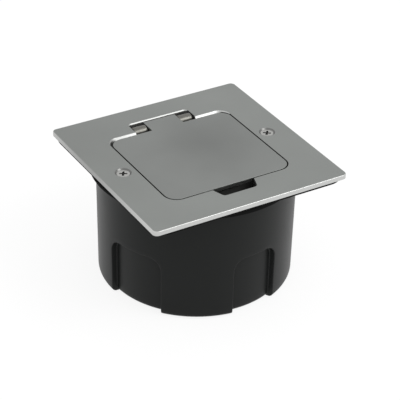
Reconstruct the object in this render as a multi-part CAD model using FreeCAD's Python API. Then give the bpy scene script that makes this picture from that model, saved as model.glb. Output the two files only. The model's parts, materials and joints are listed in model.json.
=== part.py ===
import FreeCAD, Part
import math
import os

# Flush floor socket: a square metal plate with a hinged lid over a round moulded back box.
# Millimetres, +Z up. The origin is the centre of the back box's underside.
# +Y points to the hinge and -Y to the finger notch.

V = FreeCAD.Vector

# Cover plate
total_height = 80.0
plate_side = 130.0
plate_thickness = 3.0
plate_corner_radius = 3.0
plate_edge_chamfer = 0.35
opening_width = 84.0
opening_length = 80.0
opening_centre_y = -2.1
opening_corner_radius = 8.5
rear_slope_length = 1.9
rear_slope_toe = 0.4

# Finger notch in front of the lid
notch_length = 8.3
notch_width_at_lid = 28.0
notch_width_at_front = 22.4
notch_corner_radius = 2.5
notch_pocket_depth = 7.0
notch_pocket_margin = 0.4
notch_pocket_wall = 1.6
finger_overhang = 1.6

# Lid
lid_ledge_gap = 0.4
lid_gap = 0.8
lid_rear_gap = 2.7
lid_edge_chamfer = 0.3
lid_rim_height = 2.0
lid_rim_wall = 1.6
lid_rim_clearance = 0.9
lid_rib_count = 3
lid_rib_wall = 1.4

# Hinge
tongue_width = 22.0
pin_radius = 2.5
pin_running_clearance = 0.06
pin_seat_clearance = 0.05
pin_end_clearance = 0.1
pin_seat_length = 4.0
pin_end_chamfer = 0.4
pin_setback = 5.1
knuckle_wall = 1.0
knuckle_cover = 0.2
bay_side_gap = 10.0
bay_rear_gap = 1.64
bay_corner_radius = 2.5
bay_edge_bevel = 0.6
bay_pocket_margin = 0.4
bay_pocket_wall = 1.6
bay_pocket_clearance = 0.6

# Well frame under the plate
frame_thickness = 2.5
frame_rim_clearance = 0.6
well_depth = 25.0
well_wall = 2.0
well_floor = 2.0
well_corner_radius = 6.0
ledge_width_side = 4.5
ledge_width_front = 6.6
ledge_width_rear = 7.6
gusset_wall = 1.6
gusset_reach = 9.0
gusset_drop = 12.0
gusset_side_spacing = 44.0
gusset_end_spacing = 54.0

# Lid seal
seal_width = 2.2
seal_inset = 1.1
seal_groove_depth = 1.2
seal_lid_clearance = 0.2

# Back box
box_top_radius = 60.7
box_bottom_radius = 60.0
box_wall = 2.5
box_floor = 2.5
box_bottom_fillet = 3.0
flange_overhang = 4.3
flange_thickness = 2.0
flange_edge_chamfer = 0.4
panel_depth = 3.3
panel_height = 39.5
panel_corner_radius = 8.5
wide_panel_angle = -158.2
wide_panel_sweep = 36.4
narrow_panel_angle = -83.4
narrow_panel_sweep = 29.3
panel_repeats = 2
base_hole_spacing = 60.0
base_hole_radius = 3.2
base_pad_radius = 6.5
base_pad_height = 1.0

# Gasket between the plate and the flange
gasket_thickness = 1.5
gasket_edge_inset = 0.2
gasket_bore_margin = 0.3

# Plate screws and their inserts
plate_screw_spacing = 100.0
plate_screw_radius = 2.4
plate_screw_length = 16.0
plate_screw_hole_radius = 2.75
countersink_radius = 4.9
countersink_clearance = 0.1
head_sink = 0.7
cross_recess_length = 4.6
cross_recess_width = 1.1
cross_recess_depth = 1.6
insert_radius = 3.2
insert_length = 11.0
insert_clearance = 0.05
boss_radius = 5.0
boss_length = 28.0
boss_web = 5.0

# Screws that hold the well frame to the plate
frame_screw_half_spacing_x = 49.0
frame_screw_half_spacing_y = 15.0
frame_screw_radius = 1.5
frame_screw_grip = 1.8
frame_screw_tip_gap = 0.2
pan_head_radius = 2.8
pan_head_height = 1.9
screw_hole_clearance = 0.2
thread_clearance = 0.02

# Socket face
face_side = 52.0
face_thickness = 2.5
face_corner_radius = 4.0
face_edge_chamfer = 0.6
recess_radius = 19.8
recess_depth = 17.5
cup_wall = 1.5
cup_floor = 1.6
pin_hole_radius = 2.6
pin_hole_spacing = 19.0
plug_pin_length = 19.0
guide_rib_width = 4.6
guide_rib_depth = 2.4
face_screw_radius = 1.5
face_screw_head_radius = 2.9
cup_clearance = 0.4

# Support yoke, its rivets and screws
yoke_thickness = 1.0
yoke_width = 71.0
yoke_end_margin = 5.5
yoke_corner_radius = 6.0
yoke_screw_spacing = 60.0
yoke_screw_radius = 1.55
yoke_screw_length = 7.0
rivet_wall_gap = 1.0
rivet_radius = 1.25
rivet_head_radius = 2.3
rivet_head_height = 0.8
rivet_relief = 0.4

# Mechanism base
base_wall = 1.6
base_bore_clearance = 0.3
base_floor = 1.6
base_chamfer = 1.0
base_ear_width = 48.0
base_ear_margin = 1.2
base_ear_thickness = 2.0
shutter_space = 4.4

# Contacts and terminals
contact_thickness = 0.8
contact_width = 7.0
contact_gap = 4.4
contact_mouth_gap = 6.0
contact_height = 12.5
contact_seat_gap = 0.2
contact_pin_gap = 0.5
contact_tab_length = 7.0
chamber_clearance = 0.4
earth_width = 5.0
earth_leg_inset = 0.9
earth_bulge = 2.9
earth_tip_drop = 1.5
earth_slot_clearance = 0.7
terminal_setback = 4.0
terminal_screw_radius = 1.7
terminal_head_radius = 3.0
terminal_head_height = 2.2
clamp_side = 7.0
clamp_thickness = 1.2
earth_terminal_offset = 14.0
driver_slot_width = 0.8
driver_slot_depth = 0.9

# Safety shutter and its spring
shutter_travel = 6.0
shutter_width = 30.6
shutter_cover = 3.2
shutter_back = 5.0
shutter_notch_width = 6.4
shutter_notch_length = 7.0
shutter_play = 0.3
shutter_ramp_rise = 2.2
rail_wall = 1.5
rail_clearance = 0.3
stop_half_width = 12.0
spring_coil_radius = 1.2
spring_wire_radius = 0.22
spring_length = 9.6
spring_turns = 5
spring_end_gap = 0.1

# Heights and places that follow from the sizes above
plate_bottom = total_height - plate_thickness
frame_bottom = plate_bottom - frame_thickness
flange_top = plate_bottom - gasket_thickness
flange_bottom = flange_top - flange_thickness
lid_bottom = plate_bottom + lid_ledge_gap
opening_half = opening_width / 2
opening_front = opening_centre_y - opening_length / 2
opening_rear = opening_centre_y + opening_length / 2
notch_front = opening_front - notch_length
lid_half = opening_half - lid_gap
lid_front = opening_front + lid_gap
lid_rear = opening_rear - lid_rear_gap
lid_corner_radius = opening_corner_radius - lid_gap
knuckle_radius = pin_radius + pin_running_clearance + knuckle_wall
pin_y = opening_rear + pin_setback
pin_z = total_height - knuckle_radius - knuckle_cover
tongue_half = tongue_width / 2
tongue_rear = pin_y + knuckle_radius
bay_half = tongue_half + bay_side_gap
bay_rear = tongue_rear + bay_rear_gap
bay_pocket_bottom = pin_z - math.hypot(knuckle_radius, total_height - pin_z) - bay_pocket_clearance
pin_half_length = bay_half + bay_pocket_margin + pin_seat_length
well_half = opening_half - ledge_width_side
well_front = opening_front + ledge_width_front
well_rear = opening_rear - ledge_width_rear
well_floor_top = plate_bottom - well_depth
well_floor_bottom = well_floor_top - well_floor
frame_radius = box_top_radius - box_wall - frame_rim_clearance
socket_y = (well_front + well_rear) / 2
face_top = well_floor_top + face_thickness
recess_floor = face_top - recess_depth
cup_radius = recess_radius + cup_wall
cup_bottom = recess_floor - cup_floor
base_bore_radius = cup_radius + base_bore_clearance
base_radius = base_bore_radius + base_wall
base_deck = cup_bottom - shutter_space
rivet_y = base_radius + rivet_wall_gap + rivet_head_radius
base_ear_half_length = rivet_y + rivet_head_radius + base_ear_margin
tab_top = recess_floor - plug_pin_length - contact_pin_gap
tab_bottom = tab_top - contact_thickness
chamber_bottom = tab_bottom - contact_seat_gap
base_bottom = chamber_bottom - base_floor
yoke_top = well_floor_bottom
yoke_bottom = yoke_top - yoke_thickness
pin_hole_x = pin_hole_spacing / 2
terminal_x = pin_hole_x + contact_width / 2 + terminal_setback


def block(x_low, x_high, y_low, y_high, z_low, z_high):
    """Box between two corners."""
    return Part.makeBox(x_high - x_low, y_high - y_low, z_high - z_low, V(x_low, y_low, z_low))


def rod(x, y, z_low, z_high, radius):
    """Upright cylinder."""
    return Part.makeCylinder(radius, z_high - z_low, V(x, y, z_low))


def cone(x, y, z_low, z_high, radius_low, radius_high):
    """Upright cone or taper."""
    return Part.makeCone(radius_low, radius_high, z_high - z_low, V(x, y, z_low))


def cross_rod(half_length, y, z, radius):
    """Cylinder along X, centred on x = 0."""
    return Part.makeCylinder(radius, 2 * half_length, V(-half_length, y, z), V(1, 0, 0))


def rounded_rectangle(x_low, x_high, y_low, y_high, radius):
    """Flat face with four round corners, in the plane z = 0."""
    corners = [
        (x_high - radius, y_low + radius, -90.0),
        (x_high - radius, y_high - radius, 0.0),
        (x_low + radius, y_high - radius, 90.0),
        (x_low + radius, y_low + radius, 180.0),
    ]
    arcs = []
    for centre_x, centre_y, start in corners:
        circle = Part.Circle(V(centre_x, centre_y, 0), V(0, 0, 1), radius)
        arc = Part.Arc(circle, math.radians(start), math.radians(start + 90.0))
        arcs.append(arc.toShape())
    edges = []
    for arc, following in zip(arcs, arcs[1:] + arcs[:1]):
        edges.append(arc)
        edges.append(Part.makeLine(arc.Vertexes[-1].Point, following.Vertexes[0].Point))
    return Part.Face(Part.Wire(edges))


def prism(face, z_low, z_high):
    """Flat face carried straight up between two heights."""
    return face.translated(V(0, 0, z_low)).extrude(V(0, 0, z_high - z_low))


def rounded_block(x_low, x_high, y_low, y_high, z_low, z_high, radius):
    """Box with round upright edges."""
    return prism(rounded_rectangle(x_low, x_high, y_low, y_high, radius), z_low, z_high)


def turned(points):
    """Solid of revolution about Z from (radius, height) points."""
    outline = [V(radius, 0, height) for radius, height in points]
    face = Part.Face(Part.makePolygon(outline + outline[:1]))
    return face.revolve(V(0, 0, 0), V(0, 0, 1), 360)


def side_profile(points, x_low, x_high):
    """Flat (y, z) outline carried along X."""
    outline = [V(x_low, y, z) for y, z in points]
    return Part.Face(Part.makePolygon(outline + outline[:1])).extrude(V(x_high - x_low, 0, 0))


def strip_outline(points, thickness):
    """Closed outline of a bent strip of even thickness along a centre line, with mitred bends."""
    left = []
    right = []
    for index, (u, v) in enumerate(points):
        first = points[max(index - 1, 0)]
        last = points[min(index + 1, len(points) - 1)]
        arrive = (u - first[0], v - first[1]) if index else (last[0] - u, last[1] - v)
        leave = (last[0] - u, last[1] - v) if index < len(points) - 1 else arrive
        arrive_angle = math.atan2(arrive[1], arrive[0])
        turn = math.remainder(math.atan2(leave[1], leave[0]) - arrive_angle, 2 * math.pi)
        normal_angle = arrive_angle + turn / 2 + math.pi / 2
        reach = thickness / 2 / math.cos(turn / 2)
        left.append((u + reach * math.cos(normal_angle), v + reach * math.sin(normal_angle)))
        right.append((u - reach * math.cos(normal_angle), v - reach * math.sin(normal_angle)))
    return left + right[::-1]


def fused(shapes):
    """All shapes as one clean solid."""
    first, *others = shapes
    return first.multiFuse(others).removeSplitter() if others else first


def cut(shape, tools):
    """Shape with every tool taken away."""
    return shape.cut(tools).removeSplitter()


def edges_at_height(shape, height):
    """Edges that lie flat at one height."""
    return [edge for edge in shape.Edges if abs(edge.BoundBox.ZMin - height) < 1e-6
            and abs(edge.BoundBox.ZMax - height) < 1e-6]


def both_sides(half_spacing):
    """The two places at plus and minus a half spacing."""
    return (-half_spacing, half_spacing)


def pan_screw(x, y, seat, direction, radius, length):
    """Pan-head screw. The head sits on the seat height and the shank runs from it in direction +1 or -1."""
    head_end = seat - direction * pan_head_height
    head = rod(x, y, min(seat, head_end), max(seat, head_end), pan_head_radius)
    crown = max(head_end, seat) if direction < 0 else min(head_end, seat)
    head = head.makeChamfer(pan_head_height / 3, edges_at_height(head, crown))
    shank = rod(x, y, min(seat, seat + direction * length), max(seat, seat + direction * length), radius)
    slot_depth = crown + direction * driver_slot_depth
    slot = block(x - pan_head_radius, x + pan_head_radius, y - driver_slot_width / 2, y + driver_slot_width / 2,
                 min(crown, slot_depth), max(crown, slot_depth))
    return cut(fused([head, shank]), [slot])


def countersunk_screw(x, y, top, head_radius, radius, length):
    """Countersunk screw with a cross recess, its flat head at the given height."""
    head_bottom = top - (head_radius - radius)
    head = cone(x, y, head_bottom, top, radius, head_radius)
    shank = rod(x, y, top - length, head_bottom, radius)
    scale = head_radius / countersink_radius
    reach = cross_recess_length * scale / 2
    half = cross_recess_width * scale / 2
    floor = top - cross_recess_depth * scale
    recess = [block(x - reach, x + reach, y - half, y + half, floor, top),
              block(x - half, x + half, y - reach, y + reach, floor, top)]
    return cut(fused([head, shank]), recess)


def box_radius(height):
    """Outer radius of the tapered back box at a height."""
    share = height / flange_bottom
    return box_bottom_radius + (box_top_radius - box_bottom_radius) * share


def conduit_panel(centre_angle, sweep, offset):
    """Arched sector that sets a conduit panel back into the wall, grown by an offset on every side."""
    floor_radius = box_bottom_radius - panel_depth - offset
    outer_radius = box_top_radius + flange_overhang
    top = panel_height + offset
    grown_sweep = sweep + 2 * math.degrees(offset / box_bottom_radius)
    outline = [V(floor_radius, 0, -1), V(outer_radius, 0, -1), V(outer_radius, 0, top), V(floor_radius, 0, top)]
    face = Part.Face(Part.makePolygon(outline + outline[:1]))
    sector = face.revolve(V(0, 0, 0), V(0, 0, 1), grown_sweep)
    corners = [edge for edge in edges_at_height(sector, top) if len(edge.Vertexes) == 2
               and isinstance(edge.Curve, Part.Line)]
    arched = sector.makeFillet(panel_corner_radius + offset, corners)
    return arched.rotated(V(0, 0, 0), V(0, 0, 1), centre_angle - grown_sweep / 2)


def conduit_panels(offset):
    """All conduit panels: a wide and a narrow one, repeated round the box."""
    panels = []
    for turn in range(panel_repeats):
        start = turn * 360.0 / panel_repeats
        panels.append(conduit_panel(wide_panel_angle + start, wide_panel_sweep, offset))
        panels.append(conduit_panel(narrow_panel_angle + start, narrow_panel_sweep, offset))
    return panels


def make_back_box():
    """Tapered drum with a flange, set-back conduit panels, screw bosses and fixing holes in the floor."""
    drum = turned([(0, 0), (box_bottom_radius, 0), (box_radius(flange_top), flange_top), (0, flange_top)])
    drum = drum.makeFillet(box_bottom_fillet, edges_at_height(drum, 0))
    drum = drum.cut(conduit_panels(0))
    flange = rod(0, 0, flange_bottom, flange_top, box_top_radius + flange_overhang)
    flange = flange.makeChamfer(flange_edge_chamfer, edges_at_height(flange, flange_bottom))
    cavity = turned([(0, box_floor), (box_radius(box_floor) - box_wall, box_floor),
                     (box_radius(flange_top) - box_wall, flange_top), (0, flange_top)])
    cavity = cavity.cut(conduit_panels(box_wall))
    shell = fused([drum, flange]).cut(cavity)
    additions = []
    removals = []
    boss_bottom = frame_bottom - boss_length
    for side in (-1, 1):
        x = side * plate_screw_spacing / 2
        wall_x = side * (box_radius(frame_bottom) - box_wall / 2)
        additions.append(rod(x, 0, boss_bottom, frame_bottom, boss_radius))
        additions.append(block(min(x, wall_x), max(x, wall_x), -boss_web / 2, boss_web / 2,
                               boss_bottom, frame_bottom))
        removals.append(rod(x, 0, frame_bottom - plate_screw_length, frame_bottom, plate_screw_hole_radius))
        removals.append(rod(x, 0, frame_bottom - insert_length, frame_bottom, insert_radius))
    for y in both_sides(base_hole_spacing / 2):
        additions.append(rod(0, y, box_floor / 2, box_floor + base_pad_height, base_pad_radius))
        removals.append(rod(0, y, 0, box_floor + base_pad_height, base_hole_radius))
    return cut(fused([shell] + additions), removals)


def make_screw_inserts():
    """Threaded inserts in the bosses of the back box."""
    inserts = []
    for x in both_sides(plate_screw_spacing / 2):
        sleeve = rod(x, 0, frame_bottom - insert_length, frame_bottom, insert_radius - insert_clearance)
        bore = rod(x, 0, frame_bottom - insert_length, frame_bottom, plate_screw_radius + insert_clearance)
        inserts.append(sleeve.cut(bore))
    return Part.makeCompound(inserts)


def make_plate_gasket():
    """Thin square seal between the plate and the flange."""
    half = plate_side / 2 - gasket_edge_inset
    sheet = rounded_block(-half, half, -half, half, flange_top, plate_bottom, plate_corner_radius)
    return sheet.cut(rod(0, 0, flange_top, plate_bottom, box_top_radius - box_wall + gasket_bore_margin))


def notch_outline(margin, rear_y):
    """Upright finger-notch tool: a trapezoid that narrows to the front, grown by a margin."""
    slope = (notch_width_at_lid - notch_width_at_front) / 2 / notch_length
    front = notch_front - margin
    front_half = notch_width_at_front / 2 + margin * (1 - slope)
    rear_half = front_half + slope * (rear_y - front)
    outline = [V(-rear_half, rear_y, 0), V(-front_half, front, 0), V(front_half, front, 0), V(rear_half, rear_y, 0)]
    return Part.Face(Part.makePolygon(outline + outline[:1]))


def notch_prism(margin, rear_y, z_low, z_high):
    """Finger-notch solid with round front corners."""
    solid = prism(notch_outline(margin, rear_y), z_low, z_high)
    front = notch_front - margin
    corners = [edge for edge in solid.Edges if abs(edge.BoundBox.YMax - front) < 1e-6
               and edge.BoundBox.ZLength > (z_high - z_low) / 2]
    return solid.makeFillet(notch_corner_radius + margin, corners)


def pin_seats(radius):
    """The pin's seats, as one cylinder that cuts the frame and the plate."""
    return cross_rod(pin_half_length + pin_end_clearance, pin_y, pin_z, radius)


def rear_slopes(opening):
    """Slopes along the rear edge of the opening, either side of the hinge bay."""
    front = opening_rear - rear_slope_length
    profile = [(front, plate_bottom), (opening_rear, plate_bottom), (opening_rear, total_height),
               (front, plate_bottom + rear_slope_toe)]
    wedge = side_profile(profile, -opening_half, opening_half)
    bay = block(-bay_half, bay_half, front, opening_rear, plate_bottom, total_height)
    return wedge.common(opening).cut(bay)


def bay_bevel():
    """Wedge that bevels the plate's upper edge along the straight rear of the hinge bay."""
    profile = [(bay_rear, total_height - bay_edge_bevel), (bay_rear + bay_edge_bevel, total_height),
               (bay_rear, total_height)]
    reach = bay_half - bay_corner_radius
    return side_profile(profile, -reach, reach)


def make_cover_plate():
    """Square plate with the lid opening, hinge bay, finger notch and countersunk screw holes."""
    half = plate_side / 2
    plate = rounded_block(-half, half, -half, half, plate_bottom, total_height, plate_corner_radius)
    plate = plate.makeChamfer(plate_edge_chamfer, edges_at_height(plate, total_height))
    opening = rounded_block(-opening_half, opening_half, opening_front, opening_rear, plate_bottom, total_height,
                            opening_corner_radius)
    tools = [
        opening.cut(rear_slopes(opening)),
        rounded_block(-bay_half, bay_half, pin_y - bay_half, bay_rear, plate_bottom, total_height,
                      bay_corner_radius),
        bay_bevel(),
        notch_prism(0, opening_front + lid_gap, plate_bottom, total_height),
        pin_seats(pin_radius + pin_seat_clearance),
    ]
    countersink_depth = countersink_radius - plate_screw_hole_radius
    for x in both_sides(plate_screw_spacing / 2):
        tools.append(rod(x, 0, plate_bottom, total_height, plate_screw_hole_radius))
        tools.append(cone(x, 0, total_height - countersink_depth, total_height,
                          plate_screw_hole_radius, countersink_radius))
    for x in both_sides(frame_screw_half_spacing_x):
        for y in both_sides(frame_screw_half_spacing_y):
            tools.append(rod(x, y, plate_bottom, plate_bottom + frame_screw_grip + frame_screw_tip_gap,
                             frame_screw_radius + thread_clearance))
    return cut(plate, tools)


def make_plate_screws():
    """Countersunk screws that hold the plate to the back box."""
    head_radius = countersink_radius - head_sink - countersink_clearance
    return Part.makeCompound([
        countersunk_screw(x, 0, total_height - head_sink, head_radius, plate_screw_radius, plate_screw_length)
        for x in both_sides(plate_screw_spacing / 2)])


def ring_outline(margin, z_low, z_high):
    """Rounded block that follows the well's mouth, grown by a margin."""
    return rounded_block(-well_half - margin, well_half + margin, well_front - margin, well_rear + margin,
                         z_low, z_high, well_corner_radius + margin)


def gusset(x, y, turn):
    """Triangular web from the well's wall out under the rim of the frame, turned about Z."""
    outline = [V(-well_wall / 2, 0, 0), V(gusset_reach, 0, 0), V(-well_wall / 2, 0, -gusset_drop)]
    face = Part.Face(Part.makePolygon(outline + outline[:1]))
    web = face.extrude(V(0, gusset_wall, 0)).translated(V(0, -gusset_wall / 2, 0))
    return web.rotated(V(0, 0, 0), V(0, 0, 1), turn).translated(V(x, y, frame_bottom))


def frame_gussets():
    """Webs on the four sides of the well."""
    webs = []
    outer_half = well_half + well_wall
    for offset in both_sides(gusset_side_spacing / 2):
        webs.append(gusset(outer_half, socket_y + offset, 0))
        webs.append(gusset(-outer_half, socket_y + offset, 180))
    for offset in both_sides(gusset_end_spacing / 2):
        webs.append(gusset(offset, well_front - well_wall, -90))
        webs.append(gusset(offset, well_rear + well_wall, 90))
    return webs


def make_well_frame():
    """Round frame with the well for the plug, the lid ledge, the finger pocket and the pin seats."""
    rim = rod(0, 0, frame_bottom, plate_bottom, frame_radius)
    tub = ring_outline(well_wall, well_floor_bottom, plate_bottom)
    pocket_floor = plate_bottom - notch_pocket_depth
    pocket_rear = lid_front + finger_overhang
    pocket_shell = notch_prism(notch_pocket_margin + notch_pocket_wall, pocket_rear + notch_pocket_wall,
                               pocket_floor - notch_pocket_wall, plate_bottom)
    bay_outer = bay_half + bay_pocket_margin + bay_pocket_wall
    bay_front = pin_y - knuckle_radius - bay_pocket_margin
    bay_shell = block(-bay_outer, bay_outer, bay_front - bay_pocket_wall,
                      bay_rear + bay_pocket_margin + bay_pocket_wall,
                      bay_pocket_bottom - bay_pocket_wall, plate_bottom)
    seat_block_half = pin_half_length + pin_end_clearance + bay_pocket_wall
    seat_half_width = pin_radius + bay_pocket_wall
    seat_block = block(-seat_block_half, seat_block_half, pin_y - seat_half_width, pin_y + seat_half_width,
                       pin_z - seat_half_width, plate_bottom)
    solid = fused([rim, tub, pocket_shell, bay_shell, seat_block] + frame_gussets())
    seal_rim = ring_outline(seal_inset + seal_width, plate_bottom - seal_groove_depth, plate_bottom)
    seal_core = ring_outline(seal_inset, plate_bottom - seal_groove_depth, plate_bottom)
    floor_hole_radius = cup_radius + cup_clearance
    tools = [
        ring_outline(0, well_floor_top, plate_bottom),
        notch_prism(notch_pocket_margin, pocket_rear, pocket_floor, plate_bottom),
        block(-bay_half - bay_pocket_margin, bay_half + bay_pocket_margin, bay_front,
              bay_rear + bay_pocket_margin, bay_pocket_bottom, plate_bottom),
        pin_seats(pin_radius + pin_seat_clearance),
        seal_rim.cut(seal_core),
        rod(0, socket_y, well_floor_bottom, well_floor_top, floor_hole_radius),
    ]
    for x in both_sides(plate_screw_spacing / 2):
        tools.append(rod(x, 0, frame_bottom, plate_bottom, plate_screw_hole_radius))
    for x in both_sides(frame_screw_half_spacing_x):
        for y in both_sides(frame_screw_half_spacing_y):
            tools.append(rod(x, y, frame_bottom, plate_bottom, frame_screw_radius + screw_hole_clearance))
    for x in both_sides(yoke_screw_spacing / 2):
        tools.append(rod(x, socket_y, well_floor_bottom, well_floor_top, yoke_screw_radius + screw_hole_clearance))
    for y in both_sides(rivet_y):
        tools.append(rod(0, socket_y + y, well_floor_bottom, well_floor_bottom + rivet_head_height + rivet_relief / 2,
                         rivet_head_radius + rivet_relief))
    return cut(solid, tools)


def make_frame_screws():
    """Pan-head screws from below, through the frame and into the plate."""
    length = frame_thickness + frame_screw_grip
    return Part.makeCompound([
        pan_screw(x, y, frame_bottom, 1, frame_screw_radius, length)
        for x in both_sides(frame_screw_half_spacing_x) for y in both_sides(frame_screw_half_spacing_y)])


def make_hinge_pin():
    """Hinge pin with chamfered ends."""
    pin = cross_rod(pin_half_length, pin_y, pin_z, pin_radius)
    ends = [edge for edge in pin.Edges if edge.BoundBox.XLength < 1e-6]
    return pin.makeChamfer(pin_end_chamfer, ends)


def make_lid():
    """Flush lid with a hinge tongue and knuckle, and a stiffening rim and ribs underneath."""
    panel = rounded_block(-lid_half, lid_half, lid_front, lid_rear, lid_bottom, total_height, lid_corner_radius)
    tongue = block(-tongue_half, tongue_half, lid_rear - lid_corner_radius, tongue_rear, lid_bottom, total_height)
    top = fused([panel, tongue])
    top = top.makeChamfer(lid_edge_chamfer, edges_at_height(top, total_height))
    knuckle = cross_rod(tongue_half, pin_y, pin_z, knuckle_radius)
    saddle = block(-tongue_half, tongue_half, pin_y - knuckle_radius, pin_y + knuckle_radius, pin_z, lid_bottom)
    rim_bottom = lid_bottom - lid_rim_height
    rim = ring_outline(-lid_rim_clearance, rim_bottom, lid_bottom)
    rim = rim.cut(ring_outline(-lid_rim_clearance - lid_rim_wall, rim_bottom, lid_bottom))
    rib_half = well_half - lid_rim_clearance - lid_rim_wall / 2
    inner_front = well_front + lid_rim_clearance
    inner_length = well_rear - lid_rim_clearance - inner_front
    ribs = []
    for index in range(lid_rib_count):
        y = inner_front + inner_length * (index + 1) / (lid_rib_count + 1)
        ribs.append(block(-rib_half, rib_half, y - lid_rib_wall / 2, y + lid_rib_wall / 2, rim_bottom, lid_bottom))
    solid = fused([top, knuckle, saddle, rim] + ribs)
    return cut(solid, [cross_rod(tongue_half, pin_y, pin_z, pin_radius + pin_running_clearance)])


def make_lid_gasket():
    """Rubber ring in the groove of the ledge, just under the lid."""
    low = plate_bottom - seal_groove_depth
    high = lid_bottom - seal_lid_clearance
    return ring_outline(seal_inset + seal_width, low, high).cut(ring_outline(seal_inset, low, high))


def make_socket_face():
    """Square face with a round plug recess, pin holes, guide ribs and slots for the earth tongues."""
    half = face_side / 2
    flange = rounded_block(-half, half, socket_y - half, socket_y + half, well_floor_top, face_top,
                           face_corner_radius)
    flange = flange.makeChamfer(face_edge_chamfer, edges_at_height(flange, face_top))
    cup = rod(0, socket_y, cup_bottom, face_top, cup_radius)
    body = fused([flange, cup]).cut(rod(0, socket_y, recess_floor, face_top, recess_radius))
    rib_top = face_top - face_thickness
    ribs = []
    for side in (-1, 1):
        inner = side * (recess_radius - guide_rib_depth)
        outer = side * (recess_radius + cup_wall / 2)
        ribs.append(block(min(inner, outer), max(inner, outer), socket_y - guide_rib_width / 2,
                          socket_y + guide_rib_width / 2, recess_floor, rib_top))
    body = fused([body] + ribs)
    slot_half = earth_width / 2 + earth_slot_clearance
    slot_inner = recess_radius - earth_bulge
    tools = []
    for x in both_sides(pin_hole_x):
        tools.append(rod(x, socket_y, cup_bottom, recess_floor, pin_hole_radius))
    for side in (-1, 1):
        near = socket_y + side * slot_inner
        far = socket_y + side * (cup_radius + cup_clearance)
        tools.append(block(-slot_half, slot_half, min(near, far), max(near, far), cup_bottom, face_top))
    head_depth = face_screw_head_radius - face_screw_radius
    clear = thread_clearance
    tools.append(rod(0, socket_y, cup_bottom, recess_floor, face_screw_radius + clear))
    tools.append(cone(0, socket_y, recess_floor - head_depth, recess_floor, face_screw_radius + clear,
                      face_screw_head_radius + clear))
    return cut(body, tools)


def make_face_screw():
    """Centre screw that draws the face down to the earth bracket."""
    return countersunk_screw(0, socket_y, recess_floor, face_screw_head_radius, face_screw_radius,
                             recess_floor - tab_bottom)


def make_support_yoke():
    """Steel plate under the well's floor that carries the mechanism."""
    half_width = yoke_width / 2
    half_length = rivet_y + yoke_end_margin
    plate = rounded_block(-half_width, half_width, socket_y - half_length, socket_y + half_length,
                          yoke_bottom, yoke_top, yoke_corner_radius)
    tools = [rod(0, socket_y, yoke_bottom, yoke_top, cup_radius + cup_clearance)]
    for x in both_sides(yoke_screw_spacing / 2):
        tools.append(rod(x, socket_y, yoke_bottom, yoke_top, yoke_screw_radius + thread_clearance))
    for y in both_sides(rivet_y):
        tools.append(rod(0, socket_y + y, yoke_bottom, yoke_top, rivet_radius + thread_clearance))
    return cut(plate, tools)


def make_yoke_rivets():
    """Rivets through the yoke and the ears of the base."""
    rivets = []
    ear_bottom = yoke_bottom - base_ear_thickness
    for offset in both_sides(rivet_y):
        y = socket_y + offset
        rivets.append(fused([
            rod(0, y, ear_bottom, yoke_top, rivet_radius),
            rod(0, y, yoke_top, yoke_top + rivet_head_height, rivet_head_radius),
            rod(0, y, ear_bottom - rivet_head_height, ear_bottom, rivet_head_radius),
        ]))
    return Part.makeCompound(rivets)


def make_yoke_screws():
    """Pan-head screws from above, through the well's floor and into the yoke."""
    return Part.makeCompound([
        pan_screw(x, socket_y, well_floor_top, -1, yoke_screw_radius, yoke_screw_length)
        for x in both_sides(yoke_screw_spacing / 2)])


def shutter_rails():
    """Guide rails and end stops of the shutter on the deck of the base."""
    rail_inner = shutter_width / 2 + rail_clearance
    rail_top = cup_bottom - shutter_play
    stop_front = socket_y - shutter_cover - shutter_notch_length - rail_clearance
    stop_rear = socket_y + shutter_back + spring_length + 2 * spring_end_gap
    pieces = []
    for side in (-1, 1):
        near = side * rail_inner
        far = side * (rail_inner + rail_wall)
        pieces.append(block(min(near, far), max(near, far), socket_y - stop_half_width, socket_y + stop_half_width,
                            base_deck, rail_top))
    pieces.append(block(-stop_half_width, stop_half_width, stop_front - rail_wall, stop_front,
                        base_deck, rail_top))
    pieces.append(block(-stop_half_width, stop_half_width, stop_rear, stop_rear + rail_wall,
                        base_deck, rail_top))
    return pieces


def make_mechanism_base():
    """Moulded base: a cup round the socket face, with chambers for the contacts and the earth bracket."""
    body = rod(0, socket_y, base_bottom, yoke_bottom, base_radius)
    body = body.makeChamfer(base_chamfer, edges_at_height(body, base_bottom))
    ears = rounded_block(-base_ear_width / 2, base_ear_width / 2, socket_y - base_ear_half_length,
                         socket_y + base_ear_half_length, yoke_bottom - base_ear_thickness, yoke_bottom,
                         base_ear_width / 4)
    solid = fused([body, ears]).cut(rod(0, socket_y, base_deck, yoke_bottom, base_bore_radius))
    solid = fused([solid] + shutter_rails())
    chamber_half = contact_mouth_gap / 2 + contact_thickness + chamber_clearance
    chamber_inner = pin_hole_x - contact_width / 2 - chamber_clearance
    chamber_outer = pin_hole_x + contact_width / 2 + contact_tab_length + chamber_clearance
    earth_half = earth_width / 2 + earth_slot_clearance
    tools = [block(-earth_half, earth_half, socket_y - base_bore_radius, socket_y + base_bore_radius,
                   chamber_bottom, base_deck)]
    for side in (-1, 1):
        near = side * chamber_inner
        far = side * chamber_outer
        tools.append(block(min(near, far), max(near, far), socket_y - chamber_half, socket_y + chamber_half,
                           chamber_bottom, base_deck))
    for x, y in terminal_places():
        tools.append(rod(x, y, base_bottom, chamber_bottom, terminal_screw_radius + screw_hole_clearance))
    for y in both_sides(rivet_y):
        tools.append(rod(0, socket_y + y, yoke_bottom - base_ear_thickness, yoke_bottom,
                         rivet_radius + thread_clearance))
    return cut(solid, tools)


def terminal_places():
    """Line, neutral and earth terminals as (x, y)."""
    return [(-terminal_x, socket_y), (terminal_x, socket_y), (0, socket_y - earth_terminal_offset)]


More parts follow.
